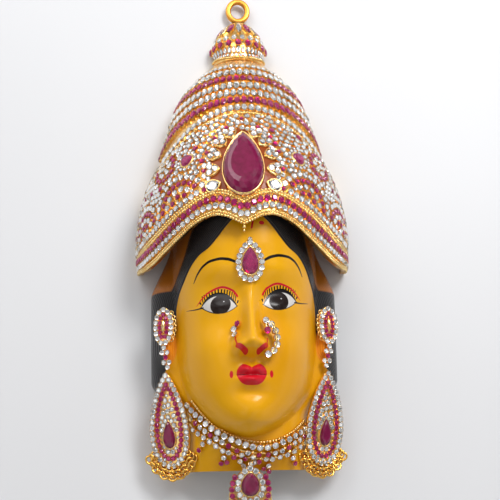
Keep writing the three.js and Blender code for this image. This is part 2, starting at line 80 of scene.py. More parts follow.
def profile(*points):
    """Monotone cubic curve through (at, value) points, flat beyond its ends."""
    at, value = np.array(points, float).T
    secant = np.diff(value) / np.diff(at)
    tangent = np.concatenate([secant[:1], np.zeros(len(at) - 2), secant[-1:]])
    same = secant[:-1] * secant[1:] > 0
    total = np.where(same, secant[:-1] + secant[1:], 1.0)
    tangent[1:-1] = np.where(same, 2 * secant[:-1] * secant[1:] / total, 0.0)

    def curve(x):
        x = np.asarray(x, float)
        i = np.clip(np.searchsorted(at, x, side="right") - 1, 0, len(at) - 2)
        span = at[i + 1] - at[i]
        t = np.clip((x - at[i]) / span, 0, 1)
        rest = 1 - t
        start = (1 + 2 * t) * value[i] + t * span * tangent[i]
        end = (3 - 2 * t) * value[i + 1] - rest * span * tangent[i + 1]
        return rest * rest * start + t * t * end

    return curve


def bell(x, width):
    return np.exp(-((x / width) ** 2))


def mound(x, y, cx, cy, rx, ry):
    return bell(x - cx, rx) * bell(y - cy, ry)


def mix(a, b, t):
    return a + (b - a) * t


def smooth(start, end, x):
    t = np.clip((x - start) / (end - start), 0, 1)
    return t * t * (3 - 2 * t)


def vault(ratio, power):
    return np.maximum(0, 1 - np.abs(ratio) ** power) ** (1 / power)


def soft_max(a, b, blend):
    h = np.maximum(blend - np.abs(a - b), 0) / blend
    return np.maximum(a, b) + h * h * blend / 4


def unit(v):
    return v / np.maximum(np.linalg.norm(v, axis=-1, keepdims=True), 1e-12)


def running(points):
    """Length along a path up to each of its points."""
    return np.concatenate([[0], np.cumsum(np.linalg.norm(np.diff(points, axis=0), axis=-1))])


def stations(at, weights, count):
    """Stations along at, closer together where the steps between its values weigh more."""
    sums = np.concatenate([[0], np.cumsum(weights)])
    return np.interp(np.linspace(0, sums[-1], count), sums, at)


def halfway(values):
    return (values[1:] + values[:-1]) / 2


head_half = profile((-143, 35), (-128, 34.5), (-113, 36.5), (-105, 42), (-98, 51), (-90, 57), (-38, 57.5),
                    (-28, 54), (-18, 49.5), (-8, 46), (12, 44))
back_middle = profile((-143, 25), (-135, 31), (-128, 35), (-118, 35), (-105, 32.5), (-90, 30), (-38, 30),
                      (-10, 27), (12, 26))
face_middle = profile((-125, 30), (-123.5, 40), (-121, 47), (-116.5, 54.5), (-110, 57), (-103, 58.5),
                      (-92, 60.5), (-80, 61), (-65, 60.5), (-52, 60.5), (-42, 62.5), (-30, 65.8),
                      (-18, 67.6), (-6, 67.6), (12, 63))
face_half = profile((-125, 4), (-123, 12), (-119.3, 20.5), (-113, 28.5), (-106, 34.5), (-98, 39.5),
                    (-85, 42.5), (-70, 44.2), (-50, 45), (-30, 45.3), (12, 43))
HAIRLINE = ((-42, 40), (-35, 36.8), (-28.4, 33.2), (-23, 28.5), (-19.7, 23), (-14.5, 18), (-9, 13.6),
            (-5, 10), (0, 4))
hairline = profile(*HAIRLINE)
wing_outer = profile((-42, 46), (-30, 39.5), (-21, 35.5), (-10, 32.2), (0, 28))
nose_height = profile((-85, 0), (-83, 1.5), (-80.5, 8.5), (-78, 14), (NOSE_TIP_Y, 16.6), (-70, 14.4),
                      (-60, 9.6), (-50, 5.4), (-40, 2), (-30, 0))
nose_half = profile((-84, 6), (NOSE_TIP_Y, 5.4), (-66, 4.2), (-52, 3.6), (-36, 5.5))


def face_vault(x, y, inset=0.0):
    return (face_middle(y) - inset) * vault(x / (face_half(y) - inset), 2.2)


def back_vault(x, y, inset=0.0):
    return (back_middle(y) - inset) * vault(x / (head_half(y) - inset), 3)


def nose_form(x, y):
    side = np.abs(x)
    ridge = nose_height(y) * bell(x, nose_half(y) * 1.15)
    wings = 6.4 * mound(side, y, 6.6, -77.2, 3.1, 4.2)
    nostrils = -2.6 * mound(side, y, 4.2, -81.4, 2.3, 1.8)
    return ridge + wings + nostrils


def mouth_form(x, y):
    upper = 2.9 * mound(np.abs(x), y, 3, MOUTH_Y + 3, 3.4, 2.3)
    lower = 3.4 * mound(x, y, 0, MOUTH_Y - 2.7, 5.2, 2.6)
    parting = -1.5 * bell(x, 7) * bell(y - MOUTH_Y, 1.1)
    muzzle = 1.8 * mound(x, y, 0, MOUTH_Y + 1, 12, 9)
    philtrum = -0.7 * mound(x, y, 0, -86, 1.4, 2.6)
    return upper + lower + parting + muzzle + philtrum


def eye_form(x, y):
    side = np.abs(x)
    socket = -2.8 * mound(side, y, 15, -46, 10, 7)
    ball = 3 * mound(side, y, EYE_X, EYE_Y, 9.5, 6.4)
    brow = 1.2 * mound(side, y, 18, -32, 13, 6)
    return socket + ball + brow


def chin_and_cheeks(x, y):
    cheeks = 2.6 * mound(np.abs(x), y, 23, -76, 12, 13)
    chin = 2.6 * mound(x, y, 0, -111, 9, 7)
    fold = -1.4 * mound(x, y, 0, -102, 8, 3)
    return cheeks + chin + fold


def hair_wings(x, y):
    side = np.abs(x)
    inside = smooth(0, 1.6, side - hairline(y))
    outside = 1 - smooth(0, 3, side - wing_outer(y))
    return 1.5 * inside * outside * smooth(-46, -40, y)


def head_height(x, y):
    features = nose_form(x, y) + mouth_form(x, y) + eye_form(x, y) + chin_and_cheeks(x, y) + hair_wings(x, y)
    ear = 5 * mound(np.abs(x), y, 47, -70, 3.6, 11)
    return soft_max(face_vault(x, y) + features, back_vault(x, y) + ear, 4)


def head_at(x, y, lift=0.0):
    """Points on the head above (x, y), and the normals there."""
    x, y = np.broadcast_arrays(np.asarray(x, float), np.asarray(y, float))
    dx = (head_height(x + PROBE, y) - head_height(x - PROBE, y)) / (2 * PROBE)
    dy = (head_height(x, y + PROBE) - head_height(x, y - PROBE)) / (2 * PROBE)
    normal = unit(np.stack([-dx, -dy, np.ones_like(dx)], -1))
    return np.stack([x, y, head_height(x, y)], -1) + normal * lift, normal


crown_half = profile((-32, 64), (-15, 65.2), (-5, 65.6), (4, 65.2), (14, 63.7), (24, 61.6), (33.7, 58.4),
                     (44.6, 54), (57, 50.3), (66, 48), (78, 44.8), (86, 42), (95.5, 37.2), (103, 31.5),
                     (110.5, 26.3), (117.5, 20.8), (123, 16.6), (126, 15.6), (132, 17.4), (140, 15),
                     (148.5, 9.4), (TIP_Y, 6.8))
crown_middle = profile((-32, 68), (-20, 71.5), (-9, 74.5), (2, 76.5), (9, 76.5), (28, 72.5), (52, 62.5),
                       (66, 54.5), (77, 48.5), (97, 38.8), (109, 31), (116, 24), (120.5, 18.5), (124, 18),
                       (130, 18.2), (140, 14.5), (148.5, 10), (TIP_Y, 7.4))
foot_curve = profile((0, -9.8), (4, -7.6), (9, -5), (14, -4), (19, -4.8), (25, -7.5), (34, -13.6), (45, -20),
                     (55, -24), (65, -25), (75, -23.5), (90, -21))
band_curve = profile((0, 4.2), (4, 6.8), (9, 9.4), (14, 10.2), (20, 8.8), (29, 4.2), (38, -1), (46, -5.5),
                     (54, -9), (69, -12.6), (90, -14))


def crown_at(angle, y, lift=0.0):
    """Points on the crown's skin, and the normals there. The angle runs round Y from the front."""
    angle, y = np.broadcast_arrays(np.asarray(angle, float), np.asarray(y, float))

    def skin(a, yy):
        return np.stack([crown_half(yy) * np.sin(a), yy, crown_middle(yy) * np.cos(a)], -1)

    along = skin(angle, y + PROBE) - skin(angle, y - PROBE)
    around = skin(angle + 0.01, y) - skin(angle - 0.01, y)
    normal = unit(np.cross(around, along))
    outwards = np.stack([np.sin(angle), np.zeros_like(angle), np.cos(angle)], -1)
    normal = np.where(np.sum(normal * outwards, -1, keepdims=True) < 0, -normal, normal)
    return skin(angle, y) + normal * np.asarray(lift)[..., None], normal


def band_foot(angle):
    return foot_curve(np.abs(np.degrees(angle + TURN)))


def band_top(angle):
    return band_curve(np.abs(np.degrees(angle + TURN)))


def tier(middle, sweep=0):
    return lambda angle: middle - sweep * (1 - np.cos(angle))


def between(low, high, t):
    return lambda angle: mix(low(angle), high(angle), t)


def beside(line, shift):
    return lambda angle: line(angle) + shift


def in_band(t):
    return between(band_foot, band_top, t)


dome_foot = tier(66.5, 50)
lower_rubies = tier(76.5, 26)
upper_rubies = tier(95.3, 10)
dome_top = tier(112)
cone_foot = tier(120.5, -4)
cone_rubies = tier(132)


# Materials


class Nodes:
    """The node tree of a material or a world, and its shader of this type."""

    def __init__(self, owner, shader_type):
        owner.use_nodes = True
        self.tree = owner.node_tree
        self.shader = next(n for n in self.tree.nodes if n.type == shader_type)

    def node(self, kind, inputs=(), **properties):
        """New node with these properties, and (input, value) pairs fed to it."""
        made = self.tree.nodes.new(kind)
        for key, value in properties.items():
            setattr(made, key, value)
        for key, value in inputs:
            self.feed(made.inputs[key], value)
        return made

    def feed(self, socket, value):
        if isinstance(value, bpy.types.NodeSocket):
            self.tree.links.new(value, socket)
        elif isinstance(value, tuple):
            socket.default_value = (*value, 1)
        else:
            socket.default_value = value


class Paint(Nodes):
    """A material and the few node shapes that its colours are made with."""

    def __init__(self, name, base, **values):
        self.material = bpy.data.materials.new(name)
        super().__init__(self.material, "BSDF_PRINCIPLED")
        self.color(base)
        for key, value in values.items():
            self.shader.inputs[key.replace("_", " ")].default_value = value
        self.place = self.node("ShaderNodeTexCoord").outputs["Object"]

    def field(self, name):
        return self.node("ShaderNodeAttribute", attribute_name=name).outputs["Fac"]

    def math(self, operation, a, b=0.0):
        return self.node("ShaderNodeMath", ((0, a), (1, b)), operation=operation).outputs[0]

    def lowest(self, first, second):
        return self.math("MINIMUM", first, second)

    def ranged(self, value, low, high):
        """0 where the value is low and 1 where it is high."""
        made = self.node("ShaderNodeMapRange", (("Value", value), ("From Min", low), ("From Max", high)))
        return made.outputs["Result"]

    def inside(self, field, soft=0.1):
        """1 where the field is positive, with a soft edge this many millimetres wide."""
        return self.ranged(field, -soft, soft)

    def over(self, mask, under, top):
        """The top colour where the mask is 1, over the other."""
        made = self.node("ShaderNodeMix", (("Factor", mask),), data_type="RGBA")
        for name, value in (("A", under), ("B", top)):
            self.feed(next(s for s in made.inputs if s.name == name and s.type == "RGBA"), value)
        return next(s for s in made.outputs if s.type == "RGBA")

    def noise(self, scale, detail=3.0):
        inputs = (("Vector", self.place), ("Scale", scale), ("Detail", detail))
        return self.ranged(self.node("ShaderNodeTexNoise", inputs).outputs[0], 0.35, 0.65)

    def color(self, value):
        self.feed(self.shader.inputs["Base Color"], value)

    def bump(self, height, millimetres, strength):
        inputs = (("Distance", millimetres * MM), ("Strength", strength), ("Height", height))
        self.feed(self.shader.inputs["Normal"], self.node("ShaderNodeBump", inputs).outputs["Normal"])


def mottled(name, base, dark, scale, detail=3.0, **values):
    """Material of two shades in soft patches."""
    paint = Paint(name, base, **values)
    paint.color(paint.over(paint.noise(scale, detail), base, dark))
    return paint.material


def gold_material(name, base, dark, roughness):
    return mottled(name, base, dark, 320, Metallic=1.0, Roughness=roughness)


def glass_material(name, base, deep, transmission, roughness):
    return mottled(name, base, deep, 260, Transmission_Weight=transmission, Roughness=roughness, IOR=1.56)


def foil_material(name, base, dark, roughness, metallic):
    return mottled(name, base, dark, 900, 1, Metallic=metallic, Roughness=roughness)


GOLD = gold_material("polished_gold", (1.0, 0.74, 0.34), (0.93, 0.6, 0.2), 0.2)
WIRE = gold_material("gold_wire", (1.0, 0.78, 0.38), (0.92, 0.6, 0.2), 0.22)
RING_GOLD = gold_material("ring_gold", (0.86, 0.4, 0.07), (0.78, 0.33, 0.05), 0.36)
CHAIN = gold_material("chain_gold", (0.95, 0.6, 0.15), (0.8, 0.42, 0.07), 0.17)
SILVER = foil_material("silver_foil", (1.0, 1.0, 1.0), (0.93, 0.92, 0.91), 0.1, 0.8)
RUBY_FOIL = foil_material("ruby_foil", (0.85, 0.15, 0.48), (0.55, 0.06, 0.28), 0.14, 0.85)
CRYSTAL = (glass_material("clear_glass", (1.0, 1.0, 1.0), (0.98, 0.98, 0.98), 1.0, 0.02), SILVER)
RUBY = (glass_material("ruby_glass", (0.7, 0.055, 0.3), (0.58, 0.035, 0.22), 0.75, 0.03), RUBY_FOIL)
WINE = (glass_material("wine_glass", (0.29, 0.012, 0.085), (0.21, 0.008, 0.058), 0.35, 0.04), RUBY_FOIL)


def painted_face():
    """Gloss paint on the head, cut from painted fields: turmeric skin, black hair, eyes, brows, lips and red
    marks."""
    paint = Paint("painted_face", (0.79, 0.37, 0.004), Roughness=0.24, Specular_IOR_Level=0.28)
    field, inside, lowest, math_node = paint.field, paint.inside, paint.lowest, paint.math
    comb = math_node("SINE", math_node("MULTIPLY", field("hair"), FULL_TURN / HAIR_PITCH))
    in_hair = inside(field("hair"), 0.15)
    opening = lowest(field("lid_top"), field("lid_bottom"))
    stripe = math_node("ABSOLUTE", math_node("SUBTRACT", math_node("FRACT", field("lash")), 0.5))
    lash = math_node("SUBTRACT", LASH_WIDTH / 2, math_node("MULTIPLY", stripe, LASH_PITCH))
    layers = [
        (in_hair, paint.over(inside(comb, 0.9), HAIR, HAIR_SHINE)),
        (inside(field("temple"), 0.6), TEMPLE_BROWN),
        (inside(field("ear"), 0.4), EAR_ORANGE),
        (inside(field("lips")), LIP_RED),
        (inside(lowest(field("seam"), field("lips"))), SEAM_RED),
        (inside(field("marks")), LIP_RED),
        (inside(opening), EYE_WHITE),
        (inside(lowest(opening, field("iris"))), IRIS_BROWN),
        (inside(field("glint")), GLINT_GREY),
        (inside(field("liner")), INK),
        (inside(lowest(lash, field("lash_zone"))), INK),
    ]
    for name, shade in (("brow", INK), ("tail", INK), ("fold", LIP_RED)):
        line = math_node("SUBTRACT", field(name + "_half"), math_node("ABSOLUTE", field(name)))
        layers.append((inside(line, 0.12), shade))
    color = paint.over(paint.noise(14, 2), SKIN, SKIN_DEEP)
    for mask, shade in layers:
        color = paint.over(mask, color, shade)
    paint.color(color)
    grain = math_node("MULTIPLY", paint.noise(45, 2), 0.4)
    paint.bump(math_node("ADD", math_node("MULTIPLY", comb, in_hair), grain), 0.12, 0.6)
    return paint.material


def raw_shell():
    """Unpainted inside of the head."""
    paint = Paint("raw_shell", (0.62, 0.5, 0.3), Roughness=0.65)
    paint.color(paint.over(paint.noise(30), (0.66, 0.53, 0.31), (0.52, 0.38, 0.18)))
    paint.bump(paint.noise(160), 0.3, 0.5)
    return paint.material


def crown_metal():
    """Gold plate with red-brown enamel round the big stone, darkened with painted shade."""
    paint = Paint("crown_gold", (0.9, 0.56, 0.18), Metallic=1.0, Roughness=0.26, Specular_IOR_Level=0.3)
    enamel_and_shade = paint.inside(paint.field("enamel_and_shade"), 0.3)
    gold = paint.over(paint.noise(120), (0.98, 0.66, 0.26), (0.82, 0.46, 0.12))
    paint.color(paint.over(enamel_and_shade, gold, ENAMEL_AND_SHADE))
    paint.feed(paint.shader.inputs["Metallic"], paint.math("SUBTRACT", 1.0, enamel_and_shade))
    paint.bump(paint.noise(500, 2), 0.15, 0.5)
    return paint.material


# Meshes


def make_object(name, points, faces, materials, kinds=None, rounded=None, fields=None):
    """Object from points in millimetres and faces of one size, with the material and smoothness of each."""
    mesh = bpy.data.meshes.new(name)
    count, sides = faces.shape
    mesh.vertices.add(len(points))
    mesh.vertices.foreach_set("co", (np.asarray(points) * MM).astype(np.float32).ravel())
    mesh.loops.add(faces.size)
    mesh.loops.foreach_set("vertex_index", faces.ravel().astype(np.int32))
    mesh.polygons.add(count)
    mesh.polygons.foreach_set("loop_start", np.arange(0, faces.size, sides, dtype=np.int32))
    for material in materials:
        mesh.materials.append(material)
    if kinds is not None:
        mesh.polygons.foreach_set("material_index", np.asarray(kinds, np.int32))
    mesh.polygons.foreach_set("use_smooth", np.ones(count, bool) if rounded is None else rounded)
    for key, values in (fields or {}).items():
        mesh.attributes.new(key, "FLOAT", "POINT").data.foreach_set("value", values.astype(np.float32))
    mesh.update(calc_edges=True)
    mesh.validate()
    made = bpy.data.objects.new(name, mesh)
    bpy.context.scene.collection.objects.link(made)
    return made


def add_piece(made, slot, *nodes):
    """Puts a piece on the body and hides the solids that it stands for. Its slot is not used."""
    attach(made, "root")
    if nodes:
        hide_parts(*nodes)


def grid_faces(rows, columns, start=0, closed=False):
    """Quads of a grid of points numbered row by row. A closed grid joins its last column to its first."""
    wide = columns if closed else columns - 1
    row, column = np.meshgrid(np.arange(rows - 1), np.arange(wide), indexing="ij")
    a = start + row * columns + column
    b = start + row * columns + (column + 1) % columns
    return np.stack([a, b, b + columns, a + columns], -1).reshape(-1, 4)


def shell(outer, inner, rows, columns, inner_rows, inner_columns):
    """Open shell from two surfaces of the same two parameters: skin, lining and the four rims between them.
    Gives points, quads, the kind of each quad (0 skin, 1 lining or rim) and the parameters of each point."""
    points, faces, kinds, places = [], [], [], []
    start = 0
    for surface, down, across, kind in ((outer, rows, columns, 0), (inner, inner_rows, inner_columns, 1)):
        v, u = np.meshgrid(down, across, indexing="ij")
        points.append(surface(v, u).reshape(-1, 3))
        quads = grid_faces(len(down), len(across), start)
        faces.append(quads if kind == 0 else quads[:, ::-1])
        kinds.append(np.full(len(quads), kind))
        places.append(np.stack([v, u], -1).reshape(-1, 2))
        start += v.size
    for row, column in ((rows[0], None), (rows[-1], None), (None, columns[0]), (None, columns[-1])):
        v = np.full(len(columns), row) if column is None else rows
        u = columns if column is None else np.full(len(rows), column)
        points.append(np.concatenate([outer(v, u), inner(v, u)]))
        quads = grid_faces(2, len(v), start)
        faces.append(quads)
        kinds.append(np.ones(len(quads), int))
        places.append(np.tile(np.stack([v, u], -1), (2, 1)))
        start += 2 * len(v)
    return [np.concatenate(parts) for parts in (points, faces, kinds, places)]


class Pile:
    """Collects many small meshes into one object, with a material for each."""

    def __init__(self):
        self.points, self.faces, self.kinds, self.rounded, self.materials = [], [], [], [], []
        self.count = 0

    def add(self, shape, material, rounded=False):
        """A shape is points and triangles. Points of three levels are copies of one mesh."""
        points, faces = np.asarray(shape[0], float), shape[1]
        copies = points.reshape(-1, points.shape[-2], 3)
        offsets = self.count + np.arange(len(copies)) * copies.shape[1]
        triangles = (np.asarray(faces)[None] + offsets[:, None, None]).reshape(-1, 3)
        if material not in self.materials:
            self.materials.append(material)
        self.points.append(copies.reshape(-1, 3))
        self.faces.append(triangles)
        self.kinds.append(np.full(len(triangles), self.materials.index(material)))
        self.rounded.append(np.full(len(triangles), rounded))
        self.count += copies.shape[0] * copies.shape[1]

    def put(self, shape, origin, axes, material, rounded=False, scale=1.0):
        """Copies of a small shape, one for each origin and axes."""
        self.add((stamp(shape[0], origin, axes, scale), shape[1]), material, rounded)

    def build(self, name, slot, *nodes):
        joined = [np.concatenate(parts) for parts in (self.points, self.faces, self.kinds, self.rounded)]
        add_piece(make_object(name, *joined[:2], self.materials, *joined[2:]), slot, *nodes)


def loft(rings, closed=True, caps=False):
    """Points and triangles of a skin through rings of points with equal counts."""
    rings = np.asarray(rings, float)
    count = rings.shape[1]
    quads = grid_faces(len(rings), count, closed=closed)
    faces = [quads[:, [0, 1, 2]], quads[:, [0, 2, 3]]]
    if caps:
        fan = np.array([[0, k, k + 1] for k in range(1, count - 1)])
        faces += [fan[:, ::-1], fan + (len(rings) - 1) * count]
    return rings.reshape(-1, 3), np.concatenate(faces)


def pear(t, width, height, taper):
    """Outline point of a pear, tip up at t = 0. Taper 0 gives an ellipse."""
    s = math.sqrt((1 + taper) / (2 + taper))
    widest = 2 * s ** (1 + taper) * math.sqrt(1 - s * s)
    x = width / 2 * np.sin(t) * np.abs(np.sin(t / 2)) ** taper / widest
    return np.stack([x, height / 2 * np.cos(t)], -1)


def around(count, shift=0.0):
    """Even turns round a circle."""
    return (np.arange(count) + shift) / count * FULL_TURN


def circle(centre, radius, across, along, count=12):
    """Even points round a circle in the plane of two axes."""
    turn = around(count)[:, None]
    return centre + radius * (np.cos(turn) * across + np.sin(turn) * along)


def outline(width, height, taper, sides, shift=0.0):
    flat = pear(around(sides, shift), width, height, taper)
    return np.concatenate([flat, np.zeros((sides, 1))], -1)


def stepped(width, height, taper, sides, levels, **options):
    """Skin through copies of one outline, each at a (scale, height)."""
    flat = outline(width, height, taper, sides)
    return loft([flat * np.array([s, s, 1]) + np.array([0, 0, z]) for s, z in levels], **options)


def tube(path, radius, sides=6, closed=False):
    """Round wire along a path of points."""
    path = np.asarray(path, float)
    if closed:
        tangent = unit(np.roll(path, -1, 0) - np.roll(path, 1, 0))
    else:
        tangent = unit(np.gradient(path, axis=0))
    across = unit(np.cross(tangent, np.array([0.12, 0.2, 1.0])))
    other = np.cross(tangent, across)
    turn = around(sides)[None, :, None]
    rings = path[:, None] + radius * (np.cos(turn) * across[:, None] + np.sin(turn) * other[:, None])
    return loft(np.concatenate([rings, rings[:1]]) if closed else rings)


def frames(normal, up=UP):
    """Rows of axes: X across, Y along up, Z along the normal."""
    normal = np.atleast_2d(normal)
    x = unit(np.cross(np.broadcast_to(np.asarray(up, float), normal.shape), normal))
    return np.stack([x, np.cross(normal, x), normal], -2)


def stamp(local, origin, axes, scale=1.0):
    """Copies of a small mesh's points, one for each origin and axes."""
    origin, axes = np.atleast_2d(origin), np.reshape(axes, (-1, 3, 3))
    scale = np.broadcast_to(np.asarray(scale, float), (len(origin), 3))
    return np.einsum("nvi,nij->nvj", local[None] * scale[:, None], axes) + origin[:, None]


def faceted(width, height, taper, sides, levels, back):
    """Faceted stone: rings of the outline at (scale, height), each turned by half a side, with a flat table
    in front and a point behind at this depth."""
    rings = []
    for k, (scale, z) in enumerate(levels):
        ring = outline(width, height, taper, sides, 0.5 * (k % 2)) * scale
        ring[:, 2] = z
        rings.append(ring)
    points = np.concatenate(rings + [np.array([[0, 0, back]])])
    i = np.arange(sides)
    j = (i + 1) % sides
    faces = []
    for k in range(len(rings) - 1):
        a, b = k * sides, (k + 1) * sides
        if k % 2 == 0:
            faces += [np.stack([a + j, a + i, b + i], -1), np.stack([b + i, b + j, a + j], -1)]
        else:
            faces += [np.stack([a + i, b + i, b + j], -1), np.stack([a + i, b + j, a + j], -1)]
    last = (len(rings) - 1) * sides
    fan = np.array([[last, last + k + 1, last + k] for k in range(1, sides - 1)])
    faces += [fan, np.stack([i, j, np.full(sides, len(rings) * sides)], -1)]
    return points, np.concatenate(faces)


def foil_cone(*shape):
    """Bright cone behind a stone, seen from inside."""
    points, faces = faceted(*shape)
    return points, faces[:, ::-1]


def claws():
    """Four small claws over the edge of a round stone."""
    claw = np.array([[1.12, -0.15, 0.06], [1.12, 0.15, 0.06], [0.84, 0, 0.36], [1.04, 0, 0.46]])
    points, faces = [], []
    for k in range(4):
        cos, sin = math.cos(math.radians(45 + 90 * k)), math.sin(math.radians(45 + 90 * k))
        points.append(claw @ np.array([[cos, sin, 0], [-sin, cos, 0], [0, 0, 1]]))
        faces.append(np.array([[0, 1, 3], [1, 2, 3], [2, 0, 3]]) + 4 * k)
    return np.concatenate(points), np.concatenate(faces)


ROUND_GLASS = faceted(2, 2, 0, 8, ((1.0, 0.12), (0.6, 0.6)), -0.55)
ROUND_FOIL = foil_cone(2.02, 2.02, 0, 8, ((1.0, 0.06),), -0.64)
CUP = stepped(2, 2, 0, 8, ((1.0, 0.03), (1.03, 0.1), (1.06, -0.04), (1.06, -0.9)))
CLAWS = claws()
BEAD = stepped(2, 2, 0, 6, [(math.cos(a), math.sin(a)) for a in np.radians((-60, -20, 20, 60))], caps=True)
TABLE_CUT = ((1.0, 0.3), (0.9, 0.68), (0.76, 0.93), (0.6, 1.0))
TILT = 0.15  # how far the glued stones lean out of true, as a slope
STONE_RISE = 0.6  # height of a stone's girdle over its seat, in radii
chance = np.random.default_rng(11)


def set_stones(pile, points, normal, size, red=False, up=UP):
    """Round or oval stones in gold cups with four claws. size is a radius, or (across, along) radii."""
    points = np.atleast_2d(points)
    normal = np.broadcast_to(normal, points.shape)
    across, along = np.broadcast_to(size, 2)
    small = min(across, along)
    scale = (across, along, small)
    origin = points + normal * STONE_RISE * small
    cup_axes = frames(normal, up)
    axes = frames(unit(normal + chance.uniform(-TILT, TILT, normal.shape)), up)
    glass, foil = RUBY if red else CRYSTAL
    pile.put(ROUND_FOIL, origin, axes, foil, False, scale)
    pile.put(ROUND_GLASS, origin, axes, glass, False, scale)
    pile.put(CUP, origin, cup_axes, GOLD, False, scale)
    pile.put(CLAWS, origin, cup_axes, GOLD, False, scale)


def set_beads(pile, points, normal, size):
    pile.put(BEAD, points, frames(normal), WIRE, True, size)


def pear_setting(pile, origin, normal, shape, rise, kind, sides, skirt, up=UP):
    """A large pear stone in a thin gold bezel. shape is width, height and taper."""
    glass, foil = kind
    axes = frames(normal, up)
    pile.put(faceted(*shape, sides, [(s, z * rise) for s, z in TABLE_CUT], -0.12 * rise), origin, axes, glass)
    pile.put(foil_cone(*shape, sides, ((1.0, 0.1 * rise),), -0.2 * rise), origin, axes, foil)
    edge = 1.0 / max(shape[:2])
    rims = ((0.99, 0.38 * rise), (1 + 0.8 * edge, 0.46 * rise), (1 + 1.7 * edge, 0.3 * rise),
            (1 + 1.7 * edge, skirt))
    pile.put(stepped(*shape, 2 * sides, rims), origin, axes, GOLD, True)


# Head


def curve_distance(x, y, curve):
    """Distance above a curve y = curve(x), measured square to it."""
    slope = (curve(x + 0.05) - curve(x - 0.05)) / 0.1
    return (y - curve(x)) / np.sqrt(1 + slope * slope)


def capsule(x, y, ax, ay, bx, by, radius):
    """Positive inside a straight stroke with round ends."""
    dx, dy = bx - ax, by - ay
    t = np.clip(((x - ax) * dx + (y - ay) * dy) / max(dx * dx + dy * dy, 1e-9), 0, 1)
    return radius - np.hypot(x - ax - t * dx, y - ay - t * dy)


def ellipse(x, y, cx, cy, rx, ry):
    """Positive inside an ellipse, roughly in millimetres."""
    return (1 - np.hypot((x - cx) / rx, (y - cy) / ry)) * min(rx, ry)


EYE_SKEW, EYE_SHIFT = 0.055, 0.2  # the painted eyes and brows sit a little higher on the right
IRIS_RADIUS, GLINT_RADIUS = 5.7, 0.45
LID_X, LID_Y, LID_HALF, LID_SLANT, LID_RISE, LID_DROP = 17.4, -53.5, 9.9, 0.11, 6.8, 4.4


def lid_line(height, power):
    def line(x):
        ratio = np.abs(x - LID_X) / LID_HALF
        inside = height * np.maximum(0, 1 - ratio**power) ** 0.9
        beyond = -np.sign(height) * 5 * np.maximum(0, ratio - 1)
        return LID_Y + LID_SLANT * (x - LID_X + LID_HALF) + inside + beyond

    return line


hair_edge = profile((-98, 50), (-88, 49), (-80, 45), (-75, 42), (-50, 41.6), *HAIRLINE)
brow_line = profile((8, -29.2), (12.5, -27.2), (17.5, -26.3), (22, -26.6), (26, -28.4), (29.3, -32),
                    (31.6, -36.5))
brow_half = profile((7.4, -0.3), (8, 0.65), (12, 0.85), (22, 0.8), (28, 0.6), (31.6, 0.2), (32.2, -0.3))
tail_line = profile((26.3, -51.9), (30, -51.8), (35.5, -50.9))
tail_half = profile((25.6, -0.3), (26.3, 0.45), (31, 0.32), (35.5, 0.12), (36.2, -0.3))
fold_line = profile((6.8, -48), (10, -44), (16, -41.6), (22.5, -43.2), (27, -46.6), (30, -50))
fold_half = profile((6.4, -0.3), (6.8, 0.55), (16, 0.6), (25, 0.45), (30, 0.15), (30.6, -0.3))
lip_top = profile((0, -88.5), (2, -87.4), (4.5, -86.6), (6.8, -87.9), (8.1, -90), (8.6, -92.4))
lip_bottom = profile((0, -98.2), (3, -98), (5.6, -96.8), (7.4, -94.6), (8.6, -91.8))


def paint_fields(x, y):
    """Signed distances in millimetres that the paint is cut from, at each point of the head."""
    side = np.abs(x)
    eye_y = y - EYE_SKEW * x - EYE_SHIFT
    top, bottom = lid_line(LID_RISE, 2.2), lid_line(-LID_DROP, 2.0)
    across = np.linspace(0, 40, 801)
    lengths = running(np.stack([across, top(across)], -1))
    below = -curve_distance(side, eye_y, top)
    over = curve_distance(side, eye_y, bottom)
    from_middle = (side - LID_X) / LID_HALF
    middle = np.clip(1 - from_middle**2, 0, 1)
    upper = np.minimum(0.3 + 0.8 * middle - np.abs(below + 0.2 * middle), over + 0.5)
    lower = np.minimum(0.26 - np.abs(over), below + 0.4)
    slant = 0.35 * np.clip(-below, 0, 4) * from_middle
    marks = [
        ellipse(side, y, 11.15, -92, 1.0, 2.05),  # beside the mouth
        capsule(side, y, 7.8, -77.3, 3.5, -80.5, 1.3),  # nostrils
        capsule(side, y, 8.2, -77.0, 8.9, -72.8, 0.4),  # crease round each wing of the nose
        capsule(x, y, 1.2, -10, 2, -6, 0.55),  # two small marks under the crown
        ellipse(x, y, 7.0, -6.8, 1.6, 1.2),
    ]
    fields = {
        "hair": np.minimum(side - hair_edge(y), y + 105),
        "temple": np.minimum(side - wing_outer(y) - 1.5, y + 37),
        "ear": ellipse(side, y, 45.5, -71, 4.2, 10),
        "lid_top": below,
        "lid_bottom": over,
        "liner": np.maximum(upper, lower),
        "lash": (np.interp(side, across, lengths) - slant) / LASH_PITCH,
        "lash_zone": np.minimum(np.minimum(below + 3.2, -0.7 - below), over - 1.3),
        "iris": IRIS_RADIUS - np.hypot(side - 16.6, eye_y + 51.8),
        "glint": GLINT_RADIUS - np.hypot(np.abs(x - 1.6) - 16.4, eye_y + 50.2),
        "lips": np.minimum(-curve_distance(side, y, lip_top), curve_distance(side, y, lip_bottom)),
        "seam": 0.22 - np.abs(y - MOUTH_Y + 0.2 * np.cos(side / 2)),
        "marks": np.max(marks, 0),
    }
    strokes = (("brow", brow_line, brow_half), ("tail", tail_line, tail_half), ("fold", fold_line, fold_half))
    for name, line, half in strokes:
        fields[name] = curve_distance(side, eye_y, line)
        fields[name + "_half"] = half(side)
    return fields


def head_skin(y, u):
    x = head_half(y) * u
    return np.stack([x, y, np.where(np.abs(u) > 1 - 1e-9, 0, head_height(x, y))], -1)


